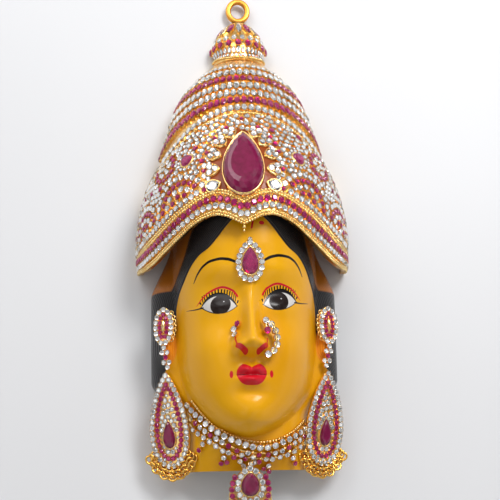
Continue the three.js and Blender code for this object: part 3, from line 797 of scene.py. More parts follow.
def head_lining(y, u):
    x = (head_half(y) - HEAD_WALL) * u

    def hollow(yy):
        return np.maximum(face_vault(x, yy, HEAD_WALL), back_vault(x, yy, HEAD_WALL))

    z = np.minimum(np.minimum(hollow(y - HEAD_WALL), hollow(y)), hollow(y + HEAD_WALL))
    return np.stack([x, y, np.where(np.abs(u) > 1 - 1e-9, 0, z)], -1)


def even_columns(count, extra):
    """Columns at an even pace along the head's section, closer together over the eyes and mouth."""
    u = np.linspace(-1, 1, 4001)
    section = head_skin(np.full_like(u, -60.0), u)
    pace = np.linalg.norm(np.diff(section, axis=0), axis=-1)
    columns = stations(u, pace * (1 + extra * (np.abs(halfway(u)) < 0.5)), count)
    columns[0], columns[-1] = -1, 1
    return columns


def build_head():
    """Painted skin with its rows closer together over the eyes, mouth and chin, and a coarser lining."""
    y = np.linspace(HEAD_TOP, NECK_END, 2001)
    middle = halfway(y)
    density = 1 + 0.9 * bell(middle + 50, 12) + 0.9 * bell(middle + 86, 14) + 1.5 * bell(middle + 122, 4)
    rows = stations(y, density, 291)
    coarse = np.linspace(HEAD_TOP, NECK_END, 60), even_columns(61, 0.0)
    points, faces, kinds, _ = shell(head_skin, head_lining, rows, even_columns(271, 0.6), *coarse)
    fields = paint_fields(points[:, 0], points[:, 1])
    made = make_object("head", points, faces, [painted_face(), raw_shell()], kinds, None, fields)
    add_piece(made, "painted_face", "mask_head")


# Crown


KEY_LINES = (band_foot, band_top, dome_foot, lower_rubies, upper_rubies, dome_top, cone_foot, cone_rubies,
             tier(TIP_Y))
KEY_STOPS = (0.0, 0.12, 0.46, 0.52, 0.66, 0.77, 0.83, 0.9, 1.0)
RIDGES = ((in_band(0.07), 0.9, 1.2), (in_band(0.93), 0.9, 1.2), (dome_foot, 0.8, 1.2), (cone_foot, 1.2, 1.4))
BACK_ANGLE = math.pi / 2  # the crown's back rim, to both sides
EDGE_ANGLE = math.radians(87)  # no field stones beyond this


def crown_y(v, angle):
    """Y of the crown's row v, from its foot at 0 to its tip at 1."""
    y = np.zeros(np.broadcast(v, angle).shape)
    for k in range(len(KEY_LINES) - 1):
        low, high = KEY_STOPS[k], KEY_STOPS[k + 1]
        part = (v >= low) & ((v < high) | (k == len(KEY_LINES) - 2))
        t = (v - low) / (high - low)
        y = np.where(part, mix(KEY_LINES[k](angle), KEY_LINES[k + 1](angle), t), y)
    return y


def to_rim(points, angle):
    """Brings both ends of each row down to the plane of the back rim."""
    edge = np.abs(angle) > BACK_ANGLE - 1e-6
    points[..., 2] = np.where(edge, 0, np.maximum(points[..., 2], 0))
    return points


def crown_skin(v, angle):
    y = crown_y(v, angle)
    lift = sum(height * bell(y - line(angle), width) for line, height, width in RIDGES)
    return to_rim(crown_at(angle, y, lift)[0], angle)


def crown_lining(v, angle):
    return to_rim(crown_at(angle, np.minimum(crown_y(v, angle), LINING_END), -CROWN_WALL)[0], angle)


def beside_ruby(points):
    """Positive where the enamel and painted shade round the big stone show, roughly in millimetres."""
    middle = -float(crown_half(RUBY_Y)) * math.sin(TURN)
    return ellipse(points[..., 0], points[..., 1], middle, RUBY_Y - 3.5, 20, 30)


def build_crown():
    """Gold skin and lining, with the paint field that its enamel and painted shade are cut from."""
    rows, angles = np.linspace(0, 1, 300), np.linspace(-BACK_ANGLE, BACK_ANGLE, 200)
    coarse = np.linspace(0, 1, 50), np.linspace(-BACK_ANGLE, BACK_ANGLE, 50)
    points, faces, _, places = shell(crown_skin, crown_lining, rows, angles, *coarse)
    above_band = points[:, 1] - band_top(places[:, 1]) - 0.6
    # the ground round the big stone: enamel with painted shade, not metal
    enamel_and_shade = np.where(points[:, 2] > 30, np.minimum(beside_ruby(points), above_band), -5)
    made = make_object("crown_plate", points, faces, [crown_metal()], fields={"enamel_and_shade": enamel_and_shade})
    add_piece(made, "gold", "crown")


def line_stops(line, reach, pitch, offset=0.0):
    """Angles along a crown line at an even pitch, from the turned middle out to both sides."""
    halves = []
    for side in (-1, 1):
        angles = np.linspace(-TURN, side * math.radians(reach), 500)
        lengths = running(crown_at(angles, line(angles))[0])
        halves.append(np.interp(np.arange(offset, lengths[-1], pitch), lengths, angles))
    return np.unique(np.concatenate(halves))


class Occupied:
    """Places that are taken, each a point and a radius."""

    def __init__(self):
        self.points, self.radii = np.zeros((0, 3)), np.zeros(0)

    def take(self, points, radius):
        points = np.atleast_2d(points)
        self.points = np.concatenate([self.points, points])
        self.radii = np.concatenate([self.radii, np.broadcast_to(radius, len(points))])

    def free(self, points, radius, keep=0.96):
        """Which points have room for this radius, taking each that has."""
        chosen = []
        for k, point in enumerate(np.atleast_2d(points)):
            gaps = np.linalg.norm(self.points - point, axis=-1)
            if np.all(gaps > (self.radii + radius) * keep):
                chosen.append(k)
                self.take(point, radius)
        return np.array(chosen, int)


taken = Occupied()


def stone_row(pile, line, reach, pitch, size, red=False, offset=0.0):
    """Stones along a line of the crown, out to this many degrees on both sides."""
    angles = line_stops(line, reach, pitch, offset)
    points, normal = crown_at(angles, line(angles))
    set_stones(pile, points, normal, size, red)
    taken.take(points, np.max(size))


def bead_row(pile, line, reach, pitch, size, lift):
    angles = line_stops(line, reach, pitch)
    set_beads(pile, *crown_at(angles, line(angles), lift), size)


def on_crown(x, y):
    """Point on the crown seen square to its turned front at (x, y), and the normal there."""
    return crown_at(np.arcsin(np.clip(x / crown_half(y), -1, 1)) - TURN, y)


def wrapped(s, y):
    """Points on the crown at a length s round from the middle."""
    angle = s / (0.5 * (crown_half(y) + crown_middle(y))) - TURN
    return angle, crown_at(angle, y)


BAND_REACH, DOME_REACH, CONE_REACH = 86, 84, 80  # degrees that the rows run to, out from the front
BEAD_PITCH = 1.75  # pitch of the band's bead rows, in radii
BAND_BEADS = ((0.02, 0.95), (0.13, 0.8), (0.87, 0.95), (0.99, 1.1))  # place across the band and radius
POINT_BEADS = ((-11.3, 1.15), (-13.2, 0.85))  # height and radius, below the point of the band


def brow_band():
    """The two stone rows of the brow band, and the beaded lines of the band, dome and cone."""
    rubies, crystals, lines = Pile(), Pile(), Pile()
    stone_row(rubies, beside(in_band(0.5), 2.1), BAND_REACH, 4.1, (1.95, 2.1), True, 2.05)
    stone_row(crystals, beside(in_band(0.5), -1.95), BAND_REACH, 3.8, 1.85, False, 1.9)
    for part, size in BAND_BEADS:
        bead_row(lines, in_band(part), BAND_REACH + 2, BEAD_PITCH * size, size, 0.8)
    for y, size in POINT_BEADS:
        set_beads(lines, *crown_at(-TURN, y, 0.6), size)
    bead_row(lines, beside(dome_foot, -1.2), BAND_REACH, 1.6, 0.85, 0.8)
    bead_row(lines, cone_foot, BAND_REACH, 1.5, 0.9, 1.4)
    rubies.build("brow_ruby_stones", "ruby", "brow_rubies")
    crystals.build("brow_crystal_stones", "crystal", "brow_crystals")
    lines.build("beaded_lines", "gold")


DOME_PITCH = 4.1
DOME_WHITES = (  # line, size and pitch of the clear rows
    (beside(dome_foot, 3.4), (1.85, 3.1), DOME_PITCH),
    (between(lower_rubies, upper_rubies, 0.35), (1.9, 3.3), DOME_PITCH),
    (between(lower_rubies, upper_rubies, 0.68), (1.9, 3.3), DOME_PITCH),
    (between(upper_rubies, dome_top, 0.35), (2.0, 3.3), DOME_PITCH),
    (between(upper_rubies, dome_top, 0.72), (1.6, 2.1), 3.5),
)


def dome_rows():
    """The dome's two red rows, and the clear rows between and above them."""
    whites = Pile()
    for word, line, height in (("lower", lower_rubies, 3.4), ("upper", upper_rubies, 2.7)):
        rubies = Pile()
        stone_row(rubies, line, DOME_REACH, DOME_PITCH, (1.95, height), True, DOME_PITCH / 2)
        rubies.build(f"dome_ruby_stones_{word}", "ruby", f"dome_rubies_{word}")
    for k, (line, size, pitch) in enumerate(DOME_WHITES):
        stone_row(whites, line, DOME_REACH, pitch, size, False, pitch / 2 * ((k + 1) % 2))
    whites.build("dome_crystal_stones", "crystal")


TIP_ANGLES = np.radians((-78, -52, -26, 0, 26, 52, 78))


def cone_rows():
    """The cone's rows, and the long stones that lean together at its tip."""
    rubies, whites = Pile(), Pile()
    stone_row(whites, between(cone_foot, cone_rubies, 0.25), CONE_REACH, 2.7, (1.15, 1.2), False, 1.35)
    stone_row(whites, between(cone_foot, cone_rubies, 0.6), CONE_REACH, 3.0, (1.3, 2.4), False)
    stone_row(rubies, cone_rubies, CONE_REACH + 2, 6.0, (2.1, 2.6), True)
    stone_row(whites, tier(136.6), CONE_REACH, 5.2, (1.75, 2.4), False, 2.6)
    points, normal = crown_at(TIP_ANGLES, 146.2)
    lean = np.stack([-0.6 * np.sin(TIP_ANGLES), np.ones(len(TIP_ANGLES)), -0.3 * np.cos(TIP_ANGLES)], -1)
    for pile, first, size, red in ((rubies, 0, (2.0, 5.4), True), (whites, 1, (1.8, 5.4), False)):
        set_stones(pile, points[first::2], normal[first::2], size, red, lean[first::2])
    rubies.build("cone_ruby_stones", "ruby", "cone_rubies")
    whites.build("cone_crystal_stones", "crystal")


def crown_centre():
    """The big pear stone in its bezel."""
    pile = Pile()
    point, normal = on_crown(0, RUBY_Y)
    shape = (RUBY_WIDTH - 1.4, RUBY_HEIGHT - 1.8, RUBY_TAPER)
    pear_setting(pile, point, normal, shape, 5.2, WINE, 22, -4)
    pile.build("big_ruby", "ruby", "crown_ruby")
    for part, sides, room in ((1, 30, 1.0), (0.6, 20, 5.5)):
        ring = outline(RUBY_WIDTH * part, RUBY_HEIGHT * part, RUBY_TAPER, sides)
        taken.take(stamp(ring, point, frames(normal))[0], room)


PETAL = (8.2, 9.4, 0.5)  # width, height and taper, as in the next line
LOWEST_STONE = (7.2, 8.0, 0.4)
PETALS, PETAL_FIRST, PETAL_STEP = 5, -18, 21  # count on a side, and degrees up from the stone's side
PETAL_DROP, PETAL_ACROSS, PETAL_UP = 4.8, 18, 29.5  # the oval that they stand on, below the stone's middle
PETAL_LEVELS = ((1.0, -2.5), (1.0, 0.7), (0.2, 0.9))
PETAL_STONES = ((-2.0, -1.0, 1.98), (2.0, -1.0, 1.98), (0, 2.5, 1.9))


def petals():
    """Pear settings round the big stone: clear stones with the tip towards it and a small ruby at the outer
    end. The lowest on each side holds one larger clear stone."""
    for side, word in SIDES:
        for i in range(PETALS):
            turn = math.radians(PETAL_FIRST + PETAL_STEP * i)
            y = RUBY_Y - PETAL_DROP + PETAL_UP * math.sin(turn)
            point, normal = on_crown(side * PETAL_ACROSS * math.cos(turn), y)
            inwards = np.array([-side * math.cos(turn), -math.sin(turn), 0.0])
            axes = frames(normal, inwards)
            across, along = axes[0, :2]
            pile = Pile()
            ring = stamp(outline(*PETAL, 26) + np.array([0, 0, 1.0]), point, axes)[0]
            pile.add(tube(ring, 0.4, 6, True), WIRE, True)
            pile.put(stepped(*PETAL, 20, PETAL_LEVELS), point, axes, GOLD, True)
            if i == 0:
                place = point + normal * 0.7
                pear_setting(pile, place, normal, LOWEST_STONE, 2.2, CRYSTAL, 12, -0.6, inwards)
            else:
                for px, py, radius in PETAL_STONES:
                    spot = point + across * px + along * py + normal * 0.6
                    set_stones(pile, spot, normal, radius, False, inwards)
            spot = point - along * (5.4 if i == 0 else 4.6) + normal * 0.5
            set_stones(pile, spot, normal, 1.5, True, inwards)
            pile.build(f"petal_{word}_{i + 1}", "crystal", f"crown_petal_{word}_{i + 1}")
            taken.take(point, 3.6)
            taken.take(spot, 1.4)


ROSETTE = {"x": 32, "y": 33.3, "stone": (8.2, 8.2, 0), "count": 12, "ring": 6.2, "room": 7.4}


def rosettes():
    """Round rubies with a ring of clear stones."""
    for side, word in SIDES:
        pile = Pile()
        point, normal = on_crown(side * ROSETTE["x"], ROSETTE["y"])
        across, along = frames(normal)[0, :2]
        pear_setting(pile, point + normal * 0.7, normal, ROSETTE["stone"], 2.6, RUBY, 12, -2.5)
        ring = circle(point, ROSETTE["ring"], across, along, ROSETTE["count"])
        set_stones(pile, ring - normal * 0.1, normal, 1.35)
        pile.build(f"rosette_{word}", "ruby", f"crown_rosette_{word}")
        taken.take(point, ROSETTE["room"])


def arc_stones(pile, centre_s, centre_y, radius, start, end, size, red):
    """Stones along an arc laid on the crown, mirrored to the other side."""
    count = max(2, int(abs(math.radians(end - start)) * radius / (2 * size + 0.25)))
    turn = np.radians(np.linspace(start, end, count))
    for side in (-1, 1):
        y = centre_y + radius * np.sin(turn)
        angle, (points, normal) = wrapped(side * (centre_s + radius * np.cos(turn)), y)
        inside = (y > band_top(angle) + size + 0.6) & (y < dome_foot(angle) - size - 0.6)
        inside &= (np.abs(angle) < EDGE_ANGLE) & (beside_ruby(points) < 1)
        points, normal = points[inside], normal[inside]
        chosen = taken.free(points, size)
        if len(chosen):
            set_stones(pile, points[chosen], normal[chosen], size, red)


# place over the big stone's tip, radii and whether it is red
RUBY_CREST = ((-2.6, 7.2, (1.6, 2.5), False), (2.6, 7.2, (1.6, 2.5), False), (0, 3.2, (1.6, 1.9), False),
              (0, 10.8, (1.4, 1.4), True))
FANS = ((41, 4, 1.0), (76, -6, 0.95))  # place round the crown, height and scale
# radius, size and whether it is red
FAN_ARCS = ((18.4, 1.95, False), (14.5, 1.75, True), (10.6, 1.95, False), (6.8, 1.75, True),
            (3.0, 1.85, False))
# place round the crown, height, radius, size and whether it is red
SMALL_RINGS = ((58, 34, 9, 1.7, True), (58, 34, 5.2, 1.9, False), (22, 52, 7, 1.8, False))
FILL_SIZES = ((1.9, 3.5), (1.5, 2.1), (1.15, 1.8))  # radius, and pitch of the places that are tried
FILL_FOOT, FILL_HEIGHT, FILL_REACH = -22, 88, 112


def crown_field():
    """A crest over the big stone, fans of stones over the brow band, then stones in every space left."""
    rubies, whites = Pile(), Pile()
    for x, rise, size, red in RUBY_CREST:
        point, normal = on_crown(x, RUBY_Y + RUBY_HEIGHT / 2 + rise)
        set_stones(rubies if red else whites, point, normal, size, red)
        taken.take(point, size[0])
    line = beside(band_top, 3.1)
    angles = line_stops(line, BAND_REACH, 3.9, 1.95)
    points, normal = crown_at(angles, line(angles))
    clear = beside_ruby(points) < 1
    points, normal = points[clear], normal[clear]
    chosen = taken.free(points, 1.85)
    set_stones(whites, points[chosen], normal[chosen], 1.9)
    for s, y, grow in FANS:
        for radius, size, red in FAN_ARCS:
            arc_stones(rubies if red else whites, s, y, radius * grow, -20, 200, size, red)
    for s, y, radius, size, red in SMALL_RINGS:
        arc_stones(rubies if red else whites, s, y, radius, 0, 340, size, red)
    fill_field(rubies, whites)
    rubies.build("field_rubies", "ruby")
    whites.build("field_crystals", "crystal")


def fill_field(rubies, whites):
    """Clear stones, and a few red ones, wherever the crown between the band and the dome still has room."""
    for size, pitch in FILL_SIZES:
        for row in range(int(FILL_HEIGHT / pitch)):
            y = FILL_FOOT + row * pitch
            half_row = (np.arange(int(FILL_REACH / pitch)) + 0.5 * (row % 2)) * pitch
            for s in np.concatenate([-half_row[half_row > 0][::-1], half_row]):
                angle, (point, normal) = wrapped(s, y)
                low, high = band_top(angle) + size + 0.7, dome_foot(angle) - size - 0.5
                if not low < y < high or abs(angle) > EDGE_ANGLE or beside_ruby(point) > 1:
                    continue
                if len(taken.free(point, size, 0.93)):
                    red = (row * 7 + int(abs(s) / pitch) * 3) % 9 == 0 and size > 1.5 and abs(s) > 14
                    set_stones(rubies if red else whites, point, normal, size, red)


# Ornaments of the face and neck


def seat(x, y, z, lean, tip=0.0):
    """Place and axes of a jewel that leans sideways and tips down by these slopes."""
    return np.array([x, y, z]), frames(unit(np.array([lean, -tip, 1.0])))[0]


def ring_stops(width, height, taper, pitch, offset=0.0, rise=0.0):
    """Even stops round a pear outline raised by this much, as points on its plane."""
    flat = pear(np.linspace(0, FULL_TURN, 721), width, height, taper)
    lengths = running(flat)
    count = int(round(lengths[-1] / pitch))
    stops = (np.arange(count) + offset) / count * lengths[-1]
    return np.stack([np.interp(stops, lengths, flat[:, 0]), np.interp(stops, lengths, flat[:, 1]) + rise], -1)


def plate_stones(pile, origin, axes, spots, size, red, lift):
    """Stones at flat spots of a plate with these axes."""
    points = origin + spots[:, :1] * axes[0] + spots[:, 1:] * axes[1] + lift * axes[2]
    set_stones(pile, points, axes[2], size, red, axes[1])


def spaced(spots, gap, others=()):
    """The spots that keep this gap from those chosen before them and from the others."""
    kept = list(others)
    chosen = []
    for spot in spots:
        if all(math.hypot(*(spot - k)) > gap for k in kept):
            kept.append(spot)
            chosen.append(spot)
    return np.array(chosen).reshape(-1, 2)


def plate(pile, origin, axes, shape, depth, thick):
    """Gold back plate of a jewel. shape is width, height and taper."""
    levels = ((0.9, -depth), (1.0, -0.2), (1.0, thick), (0.94, thick + 0.3), (0.1, thick + 0.2))
    pile.put(stepped(*shape, 32, levels), origin, axes, GOLD, True)


def forehead():
    """Pear plate on the brow with a ring of clear stones round a red one."""
    jewel, ruby = Pile(), Pile()
    point, normal = head_at(0, -29)
    axes = frames(normal)[0]
    plate(jewel, point, axes, (15.8, 24.4, 0.4), 2, 0.9)
    plate_stones(jewel, point, axes, ring_stops(13.4, 21.2, 0.4, 3.35), 1.68, False, 0.9)
    plate_stones(jewel, point, axes, np.array([[0.0, 12.2]]), 1.3, False, 0.9)
    jewel.build("forehead_jewel", "crystal", "forehead_pendant")
    pear_setting(ruby, point + normal * 1.6, normal, (9.4, 15.6, 0.7), 2.4, RUBY, 14, -1.0)
    ruby.build("forehead_stone", "ruby", "forehead_ruby")


# x, y, radius and whether it is red
NOSE_STUD = ((-6.4, -64.5, 1.9, True), (-8.9, -67.4, 1.85, False), (-8.2, -71.0, 1.8, False))
NOSE_RING = ((7.8, -63.2), (10.9, -65.4), (13.1, -68.9), (13.9, -72.6), (13.7, -76.4), (11.9, -79.9),
             (8.7, -82.0))
NOSE_SEAT = (8.4, -69.0, 68.0)
HOOP = {"x": 8.3, "y": -72.7, "z": 66.8, "across": 5.4, "up": 9.4, "slope": 0.18}


def nose_jewels():
    """Three stones on one nostril, and on the other a ring of stones with a ruby at its seat."""
    stud, ring = Pile(), Pile()
    for x, y, radius, red in NOSE_STUD:
        set_stones(stud, *head_at(x, y, 0.5), radius, red)
    stud.add(tube([head_at(x, y, 0.4)[0] for x, y, _, _ in NOSE_STUD], 0.8), WIRE, True)
    stud.build("nose_stud_stones", "crystal", "nose_stud")
    normal = unit(np.array([HOOP["slope"], 0.0, 1.0]))
    spots = [(x, y, 66.6 - HOOP["slope"] * (x - HOOP["x"])) for x, y in NOSE_RING]
    set_stones(ring, np.array(spots), normal, 1.95)
    set_stones(ring, np.array(NOSE_SEAT), normal, 2.0, True)
    turn = np.radians(np.linspace(105, -100, 30))
    x, y = HOOP["x"] + HOOP["across"] * np.cos(turn), HOOP["y"] + HOOP["up"] * np.sin(turn)
    hoop = np.stack([x, y, np.full(len(turn), HOOP["z"])], -1)
    post = [(8.4, -69, 61.0), (8.4, -69, 64.5), NOSE_SEAT]
    bridge = [(8.4, -69, 67.4), (8.2, -66.2, 67.2), (7.8, -63.2, 66.8)]
    for path, radius in ((hoop, 0.8), (post, 1.3), (bridge, 0.9)):
        ring.add(tube(path, radius), WIRE, True)
    ring.build("nose_ring_stones", "crystal", "nose_ring")


EAR = {"x": 48.8, "y": -59.5, "z": 28.0, "lean": 0.34}
DROP = {"x": 45.6, "y": -113.4, "z": 20.5, "width": 24.5, "height": 57.0, "taper": 0.75, "lean": 0.36,
        "tip": 0.22}
CHAIN_END = (DROP["x"] + 0.6, -84.2, 27.2)  # where the chain meets the drop on the right
STUD_DOME = ((1.0, 0.7), (0.9, 2.0), (0.55, 2.6), (0.1, 2.8))


def ear_studs():
    """Long oval studs with loops of wire on the inner side, and the stones of the chain below."""
    for side, word in SIDES:
        pile = Pile()
        origin, axes = seat(side * EAR["x"], EAR["y"], EAR["z"], side * EAR["lean"])
        plate(pile, origin, axes, (12.8, 23.2, 0), 1.8, 0.7)
        plate_stones(pile, origin, axes, ring_stops(9.7, 20.2, 0, 3.15), 1.55, False, 0.7)
        plate_stones(pile, origin, axes, ring_stops(4.8, 14.0, 0, 2.9), 1.35, True, 0.9)
        pile.put(stepped(2.8, 9.5, 0, 14, STUD_DOME), origin, axes, WIRE, True)
        for y in np.linspace(8.0, -8.0, 7):
            reach = 6.4 * math.sqrt(1 - (y / 11.6) ** 2)
            loop = origin + axes[0] * (-side * (reach + 0.1)) + axes[1] * y + axes[2] * 0.6
            pile.add(tube(circle(loop, 1.15, axes[0], axes[1]), 0.32, 5, True), WIRE, True)
        top = origin - axes[1] * 11
        end = np.array(CHAIN_END) * (side, 1, 1)
        pile.add(tube([mix(top, end, t) for t in np.linspace(0, 1, 8)], 0.9), WIRE, True)
        for k, t in enumerate(np.linspace(0.12, 0.95, 5)):
            step = axes[0] * (1.6 * (k % 2) * side)
            spot = mix(top, end, t) + axes[2] * 0.8 + step
            set_stones(pile, spot, axes[2], 1.5, k == 2)
            if k % 2:
                set_stones(pile, spot - 2 * step, axes[2], 1.5)
        pile.build(f"ear_stud_stones_{word}", "crystal", f"ear_stud_{word}")


def inside_pear(point, width, height, taper):
    ratio = point[1] * 2 / height
    if abs(ratio) >= 1:
        return False
    return abs(point[0]) < pear(np.array([math.acos(ratio)]), width, height, taper)[0, 0]


DROP_STONE, DROP_STONE_Y = (7.4, 16.0, 0.8), -8.0


def drop_spots():
    """Flat spots of a drop's stones: the outer row, the red row, the clear ones inside it and small ones."""
    width, height, taper = DROP["width"], DROP["height"], DROP["taper"]
    outer = spaced(ring_stops(width - 3.4, height - 4.4, taper, 3.25), 3.0)
    middle = spaced(ring_stops(width - 9.8, height - 14, taper, 3.1, rise=-0.6), 2.85, outer)
    up = np.array([0, DROP_STONE_Y])
    stone_width, stone_height, stone_taper = DROP_STONE
    stone = pear(np.linspace(0, FULL_TURN, 25), *DROP_STONE) + up
    inner = ring_stops(stone_width + 4.0, stone_height + 4.4, stone_taper, 2.9, rise=DROP_STONE_Y)
    inner = spaced(inner, 2.6, np.concatenate([outer, middle]))
    mesh = np.array([(x, y) for y in np.arange(-25, 26, 0.9) for x in np.arange(-11, 11.1, 0.9)])
    room = np.array([p for p in mesh if inside_pear(p, width - 3.6, height - 5, taper)
                     and np.min(np.hypot(*(stone - p).T)) > 1.5 and not inside_pear(p - up, *DROP_STONE)])
    extra = spaced(room, 2.75, np.concatenate([outer, middle, inner]))
    small = spaced(room, 2.3, np.concatenate([outer, middle, inner, extra]))
    return outer, middle, np.concatenate([inner, extra]), small


def ear_drops():
    """Pear drops: a row of clear stones, a row of rubies inside it, clear stones round a long pear ruby, and
    a fringe of gold chain below."""
    outer, middle, inner, small = drop_spots()
    for side, word in SIDES:
        pile, ruby, fringe = Pile(), Pile(), Pile()
        origin, axes = seat(side * DROP["x"], DROP["y"], DROP["z"], side * DROP["lean"], DROP["tip"])
        plate(pile, origin, axes, (DROP["width"], DROP["height"], DROP["taper"]), -0.3, 1.2)
        plate_stones(pile, origin, axes, outer, 1.6, False, 1.2)
        plate_stones(pile, origin, axes, middle, 1.5, True, 1.3)
        plate_stones(pile, origin, axes, inner, 1.45, False, 1.3)
        plate_stones(pile, origin, axes, small, 1.0, False, 1.3)
        pile.build(f"ear_drop_stones_{word}", "crystal", f"ear_drop_{word}")
        place = origin + axes[1] * DROP_STONE_Y + axes[2] * 1.9
        pear_setting(ruby, place, axes[2], DROP_STONE, 2.6, WINE, 14, -0.4)
        ruby.build(f"ear_drop_stone_{word}", "ruby", f"ear_drop_ruby_{word}")
        chain_fringe(fringe, origin, axes)
        fringe.build(f"ear_chain_{word}", "gold", f"ear_fringe_{word}")


def chain_link(origin, axes, at, radius, turn, tilt):
    """Round link at a flat spot of a plate, turned about the plate's normal and tilted."""
    t = around(14)
    x, y = radius * 1.2 * np.cos(t), radius * np.sin(t)
    local = np.stack([x, y * math.cos(tilt), y * math.sin(tilt)], -1)
    spin = np.array([[math.cos(turn), math.sin(turn), 0], [-math.sin(turn), math.cos(turn), 0], [0, 0, 1]])
    return origin + (local @ spin + np.array([at[0], at[1], 0.9])) @ axes


# radii of the row, count of links and radius of a link
CHAIN_ROWS = ((12.6, 18.6, 15, 1.6), (14.6, 21.2, 14, 1.8), (16.6, 23.8, 13, 2.0))


def chain_fringe(pile, origin, axes):
    """Loops of chain hung round the foot of the drop, in three rows of round links."""
    for row, (rx, ry, count, radius) in enumerate(CHAIN_ROWS):
        for k, turn in enumerate(np.radians(np.linspace(214, 326, count))):
            at = (rx * math.cos(turn), -9.2 + ry * math.sin(turn))
            tilt = 0.75 if (k + row) % 2 else -0.5
            ring = chain_link(origin, axes, at, radius, turn + math.pi / 2, tilt)
            pile.add(tube(ring, 0.62, 6, True), CHAIN, True)


NECKLACE = {"reach": 32.0, "low": -126.4, "rise": 18.0, "skew": 0.19}
CELL = 9.9  # length of necklace that one hanging cell takes
CELL_DEPTH = 15.5  # depth of a cell's lowest stone
NECKLACE_END = 40.5  # no hanging stones beyond this length
# place along the necklace, depth, radius and whether it is red, on both sides of the middle
MIDDLE_STONES = ((5.6, 6.2, 1.6, True), (5.9, 10.0, 1.6, True), (8.0, 13.8, 1.55, True),
                 (9.0, 8.6, 1.6, False))


def necklace_edge(x):
    """The upper edge of the necklace, which hangs a little lower on the right."""
    rise = NECKLACE["rise"] * (np.abs(x) / NECKLACE["reach"]) ** 2.3
    return NECKLACE["low"] + rise - NECKLACE["skew"] * x


def on_necklace(s, depth, lift=0.0):
    """Points at a length s along the necklace from its middle, this far below its upper edge."""
    x = np.linspace(-NECKLACE["reach"], NECKLACE["reach"], 801)
    lengths = running(head_at(x, necklace_edge(x) - 2)[0])
    x = np.interp(np.asarray(s) + lengths[len(x) // 2], lengths, x)
    slope = (necklace_edge(x + PROBE) - necklace_edge(x - PROBE)) / (2 * PROBE)
    across = depth / np.sqrt(1 + slope * slope)
    return head_at(x + slope * across, necklace_edge(x) - across, lift)


def under_drop(point):
    """Whether a place on the neck is hidden by one of the ear drops."""
    flat = np.array([abs(point[0]) - DROP["x"], point[1] - DROP["y"]])
    return inside_pear(flat, DROP["width"] + 1.5, DROP["height"] + 1.5, DROP["taper"])


def cell_stones():
    """Stones of the hanging cells: place along the necklace, depth below its edge, radius and whether it is
    red."""
    spots = []
    for row, depth in enumerate((6.0, 9.1, 12.2)):
        for k in range(-13, 14):
            s = (k + 0.5 * (row % 2)) * CELL / 3
            away = abs(s / CELL - round(s / CELL))
            if abs(s) > 8 and depth < CELL_DEPTH - 11 * away:
                spots.append((s, depth, 1.62, row == 0 and away < 0.01))
    spots += [(side * k * CELL, CELL_DEPTH, 1.55, True) for k in range(1, 5) for side in (-1, 1)]
    return spots


def necklace():
    """A beaded edge, a row of clear stones, and cells of clear stones and rubies hanging from it."""
    pile, room = Pile(), Occupied()
    set_beads(pile, *on_necklace(np.arange(-41, 42, 1.75), 0.3, 1.0), 0.88)
    points, normal = on_necklace(np.arange(-40.95, 42, 3.9), 2.6, 1.6)
    set_stones(pile, points, normal, 1.9)
    room.take(points, 1.9)
    spots = [(0, 9.4, 1.5, True)]
    for turn in np.radians(np.arange(30, 390, 60)):
        spots.append((3.3 * math.cos(turn), 9.4 + 3.6 * math.sin(turn), 1.65, False))
    for across, depth, radius, red in MIDDLE_STONES:
        spots += [(across, depth, radius, red), (-across, depth, radius, red)]
    for s, depth, radius, red in spots + cell_stones():
        point, normal = on_necklace(s, depth, 1.2)
        if abs(s) < NECKLACE_END and not under_drop(point) and len(room.free(point, radius, 0.84)):
            set_stones(pile, point, normal, radius, red)
    for depth in (2.6, 6.0, 9.1):
        path, _ = on_necklace(np.linspace(-40, 40, 90), depth, 0.5)
        pile.add(tube(path[path[:, 2] > 18], 0.8), WIRE, True)
    pile.build("necklace_stones", "crystal", "necklace")


PENDANT = {"y": -153.5, "z": 31.0, "width": 25.0, "height": 38.4, "tilt": 0.24, "ruby": 3.4}


def pendant():
    """A wine-red pear stone in a ring of clear stones, rubies down both sides, and a short link to the
    necklace."""
    jewel, ruby = Pile(), Pile()
    origin, axes = seat(0.0, PENDANT["y"], PENDANT["z"], 0.0, PENDANT["tilt"])
    normal = axes[2]
    shape = (PENDANT["width"] - 0.6, PENDANT["height"] - 6.2, 0.3)
    plate(jewel, origin - axes[1] * 2.8, axes, shape, -0.3, 1.2)
    inner = ring_stops(14.4, 18.4, 0.35, 3.6, rise=PENDANT["ruby"])
    outer = spaced(ring_stops(21, 27, 0.35, 3.5, 0.5, 2.2), 3.1, inner)
    outer = outer[outer[:, 1] < 11]
    low = spaced(ring_stops(21.4, 34.4, 0.3, 3.4), 3.0, np.concatenate([inner, outer]))
    plate_stones(jewel, origin, axes, inner, 1.75, False, 1.4)
    plate_stones(jewel, origin, axes, outer, 1.65, True, 1.3)
    plate_stones(jewel, origin, axes, low[low[:, 1] < 0], 1.6, False, 1.3)
    top = origin + axes[1] * 12.4 + normal * 0.2
    hook, _ = on_necklace(2.1, 11.0, 0.9)
    jewel.add(tube([mix(hook, top, t) for t in np.linspace(0, 1, 6)], 1.4, 8), WIRE, True)
    set_stones(jewel, mix(hook, top, 0.4) + normal * 1.3, normal, 1.6)
    jewel.build("pendant_stones", "crystal", "necklace_pendant")
    place = origin + axes[1] * PENDANT["ruby"] + normal * 1.6
    pear_setting(ruby, place, normal, (10.4, 13.2, 0.35), 3.4, WINE, 16, -0.6)
    ruby.build("pendant_stone", "ruby", "pendant_ruby")


RING = {"y": 163.0, "outer": (8.3, 9.2), "hole": (4.7, 5.6), "thick": 3.4, "z": 2.6}


def squared(wave):
    """A sine or cosine with its rounds pressed towards a square."""
    return np.sign(wave) * np.abs(wave) ** 0.7


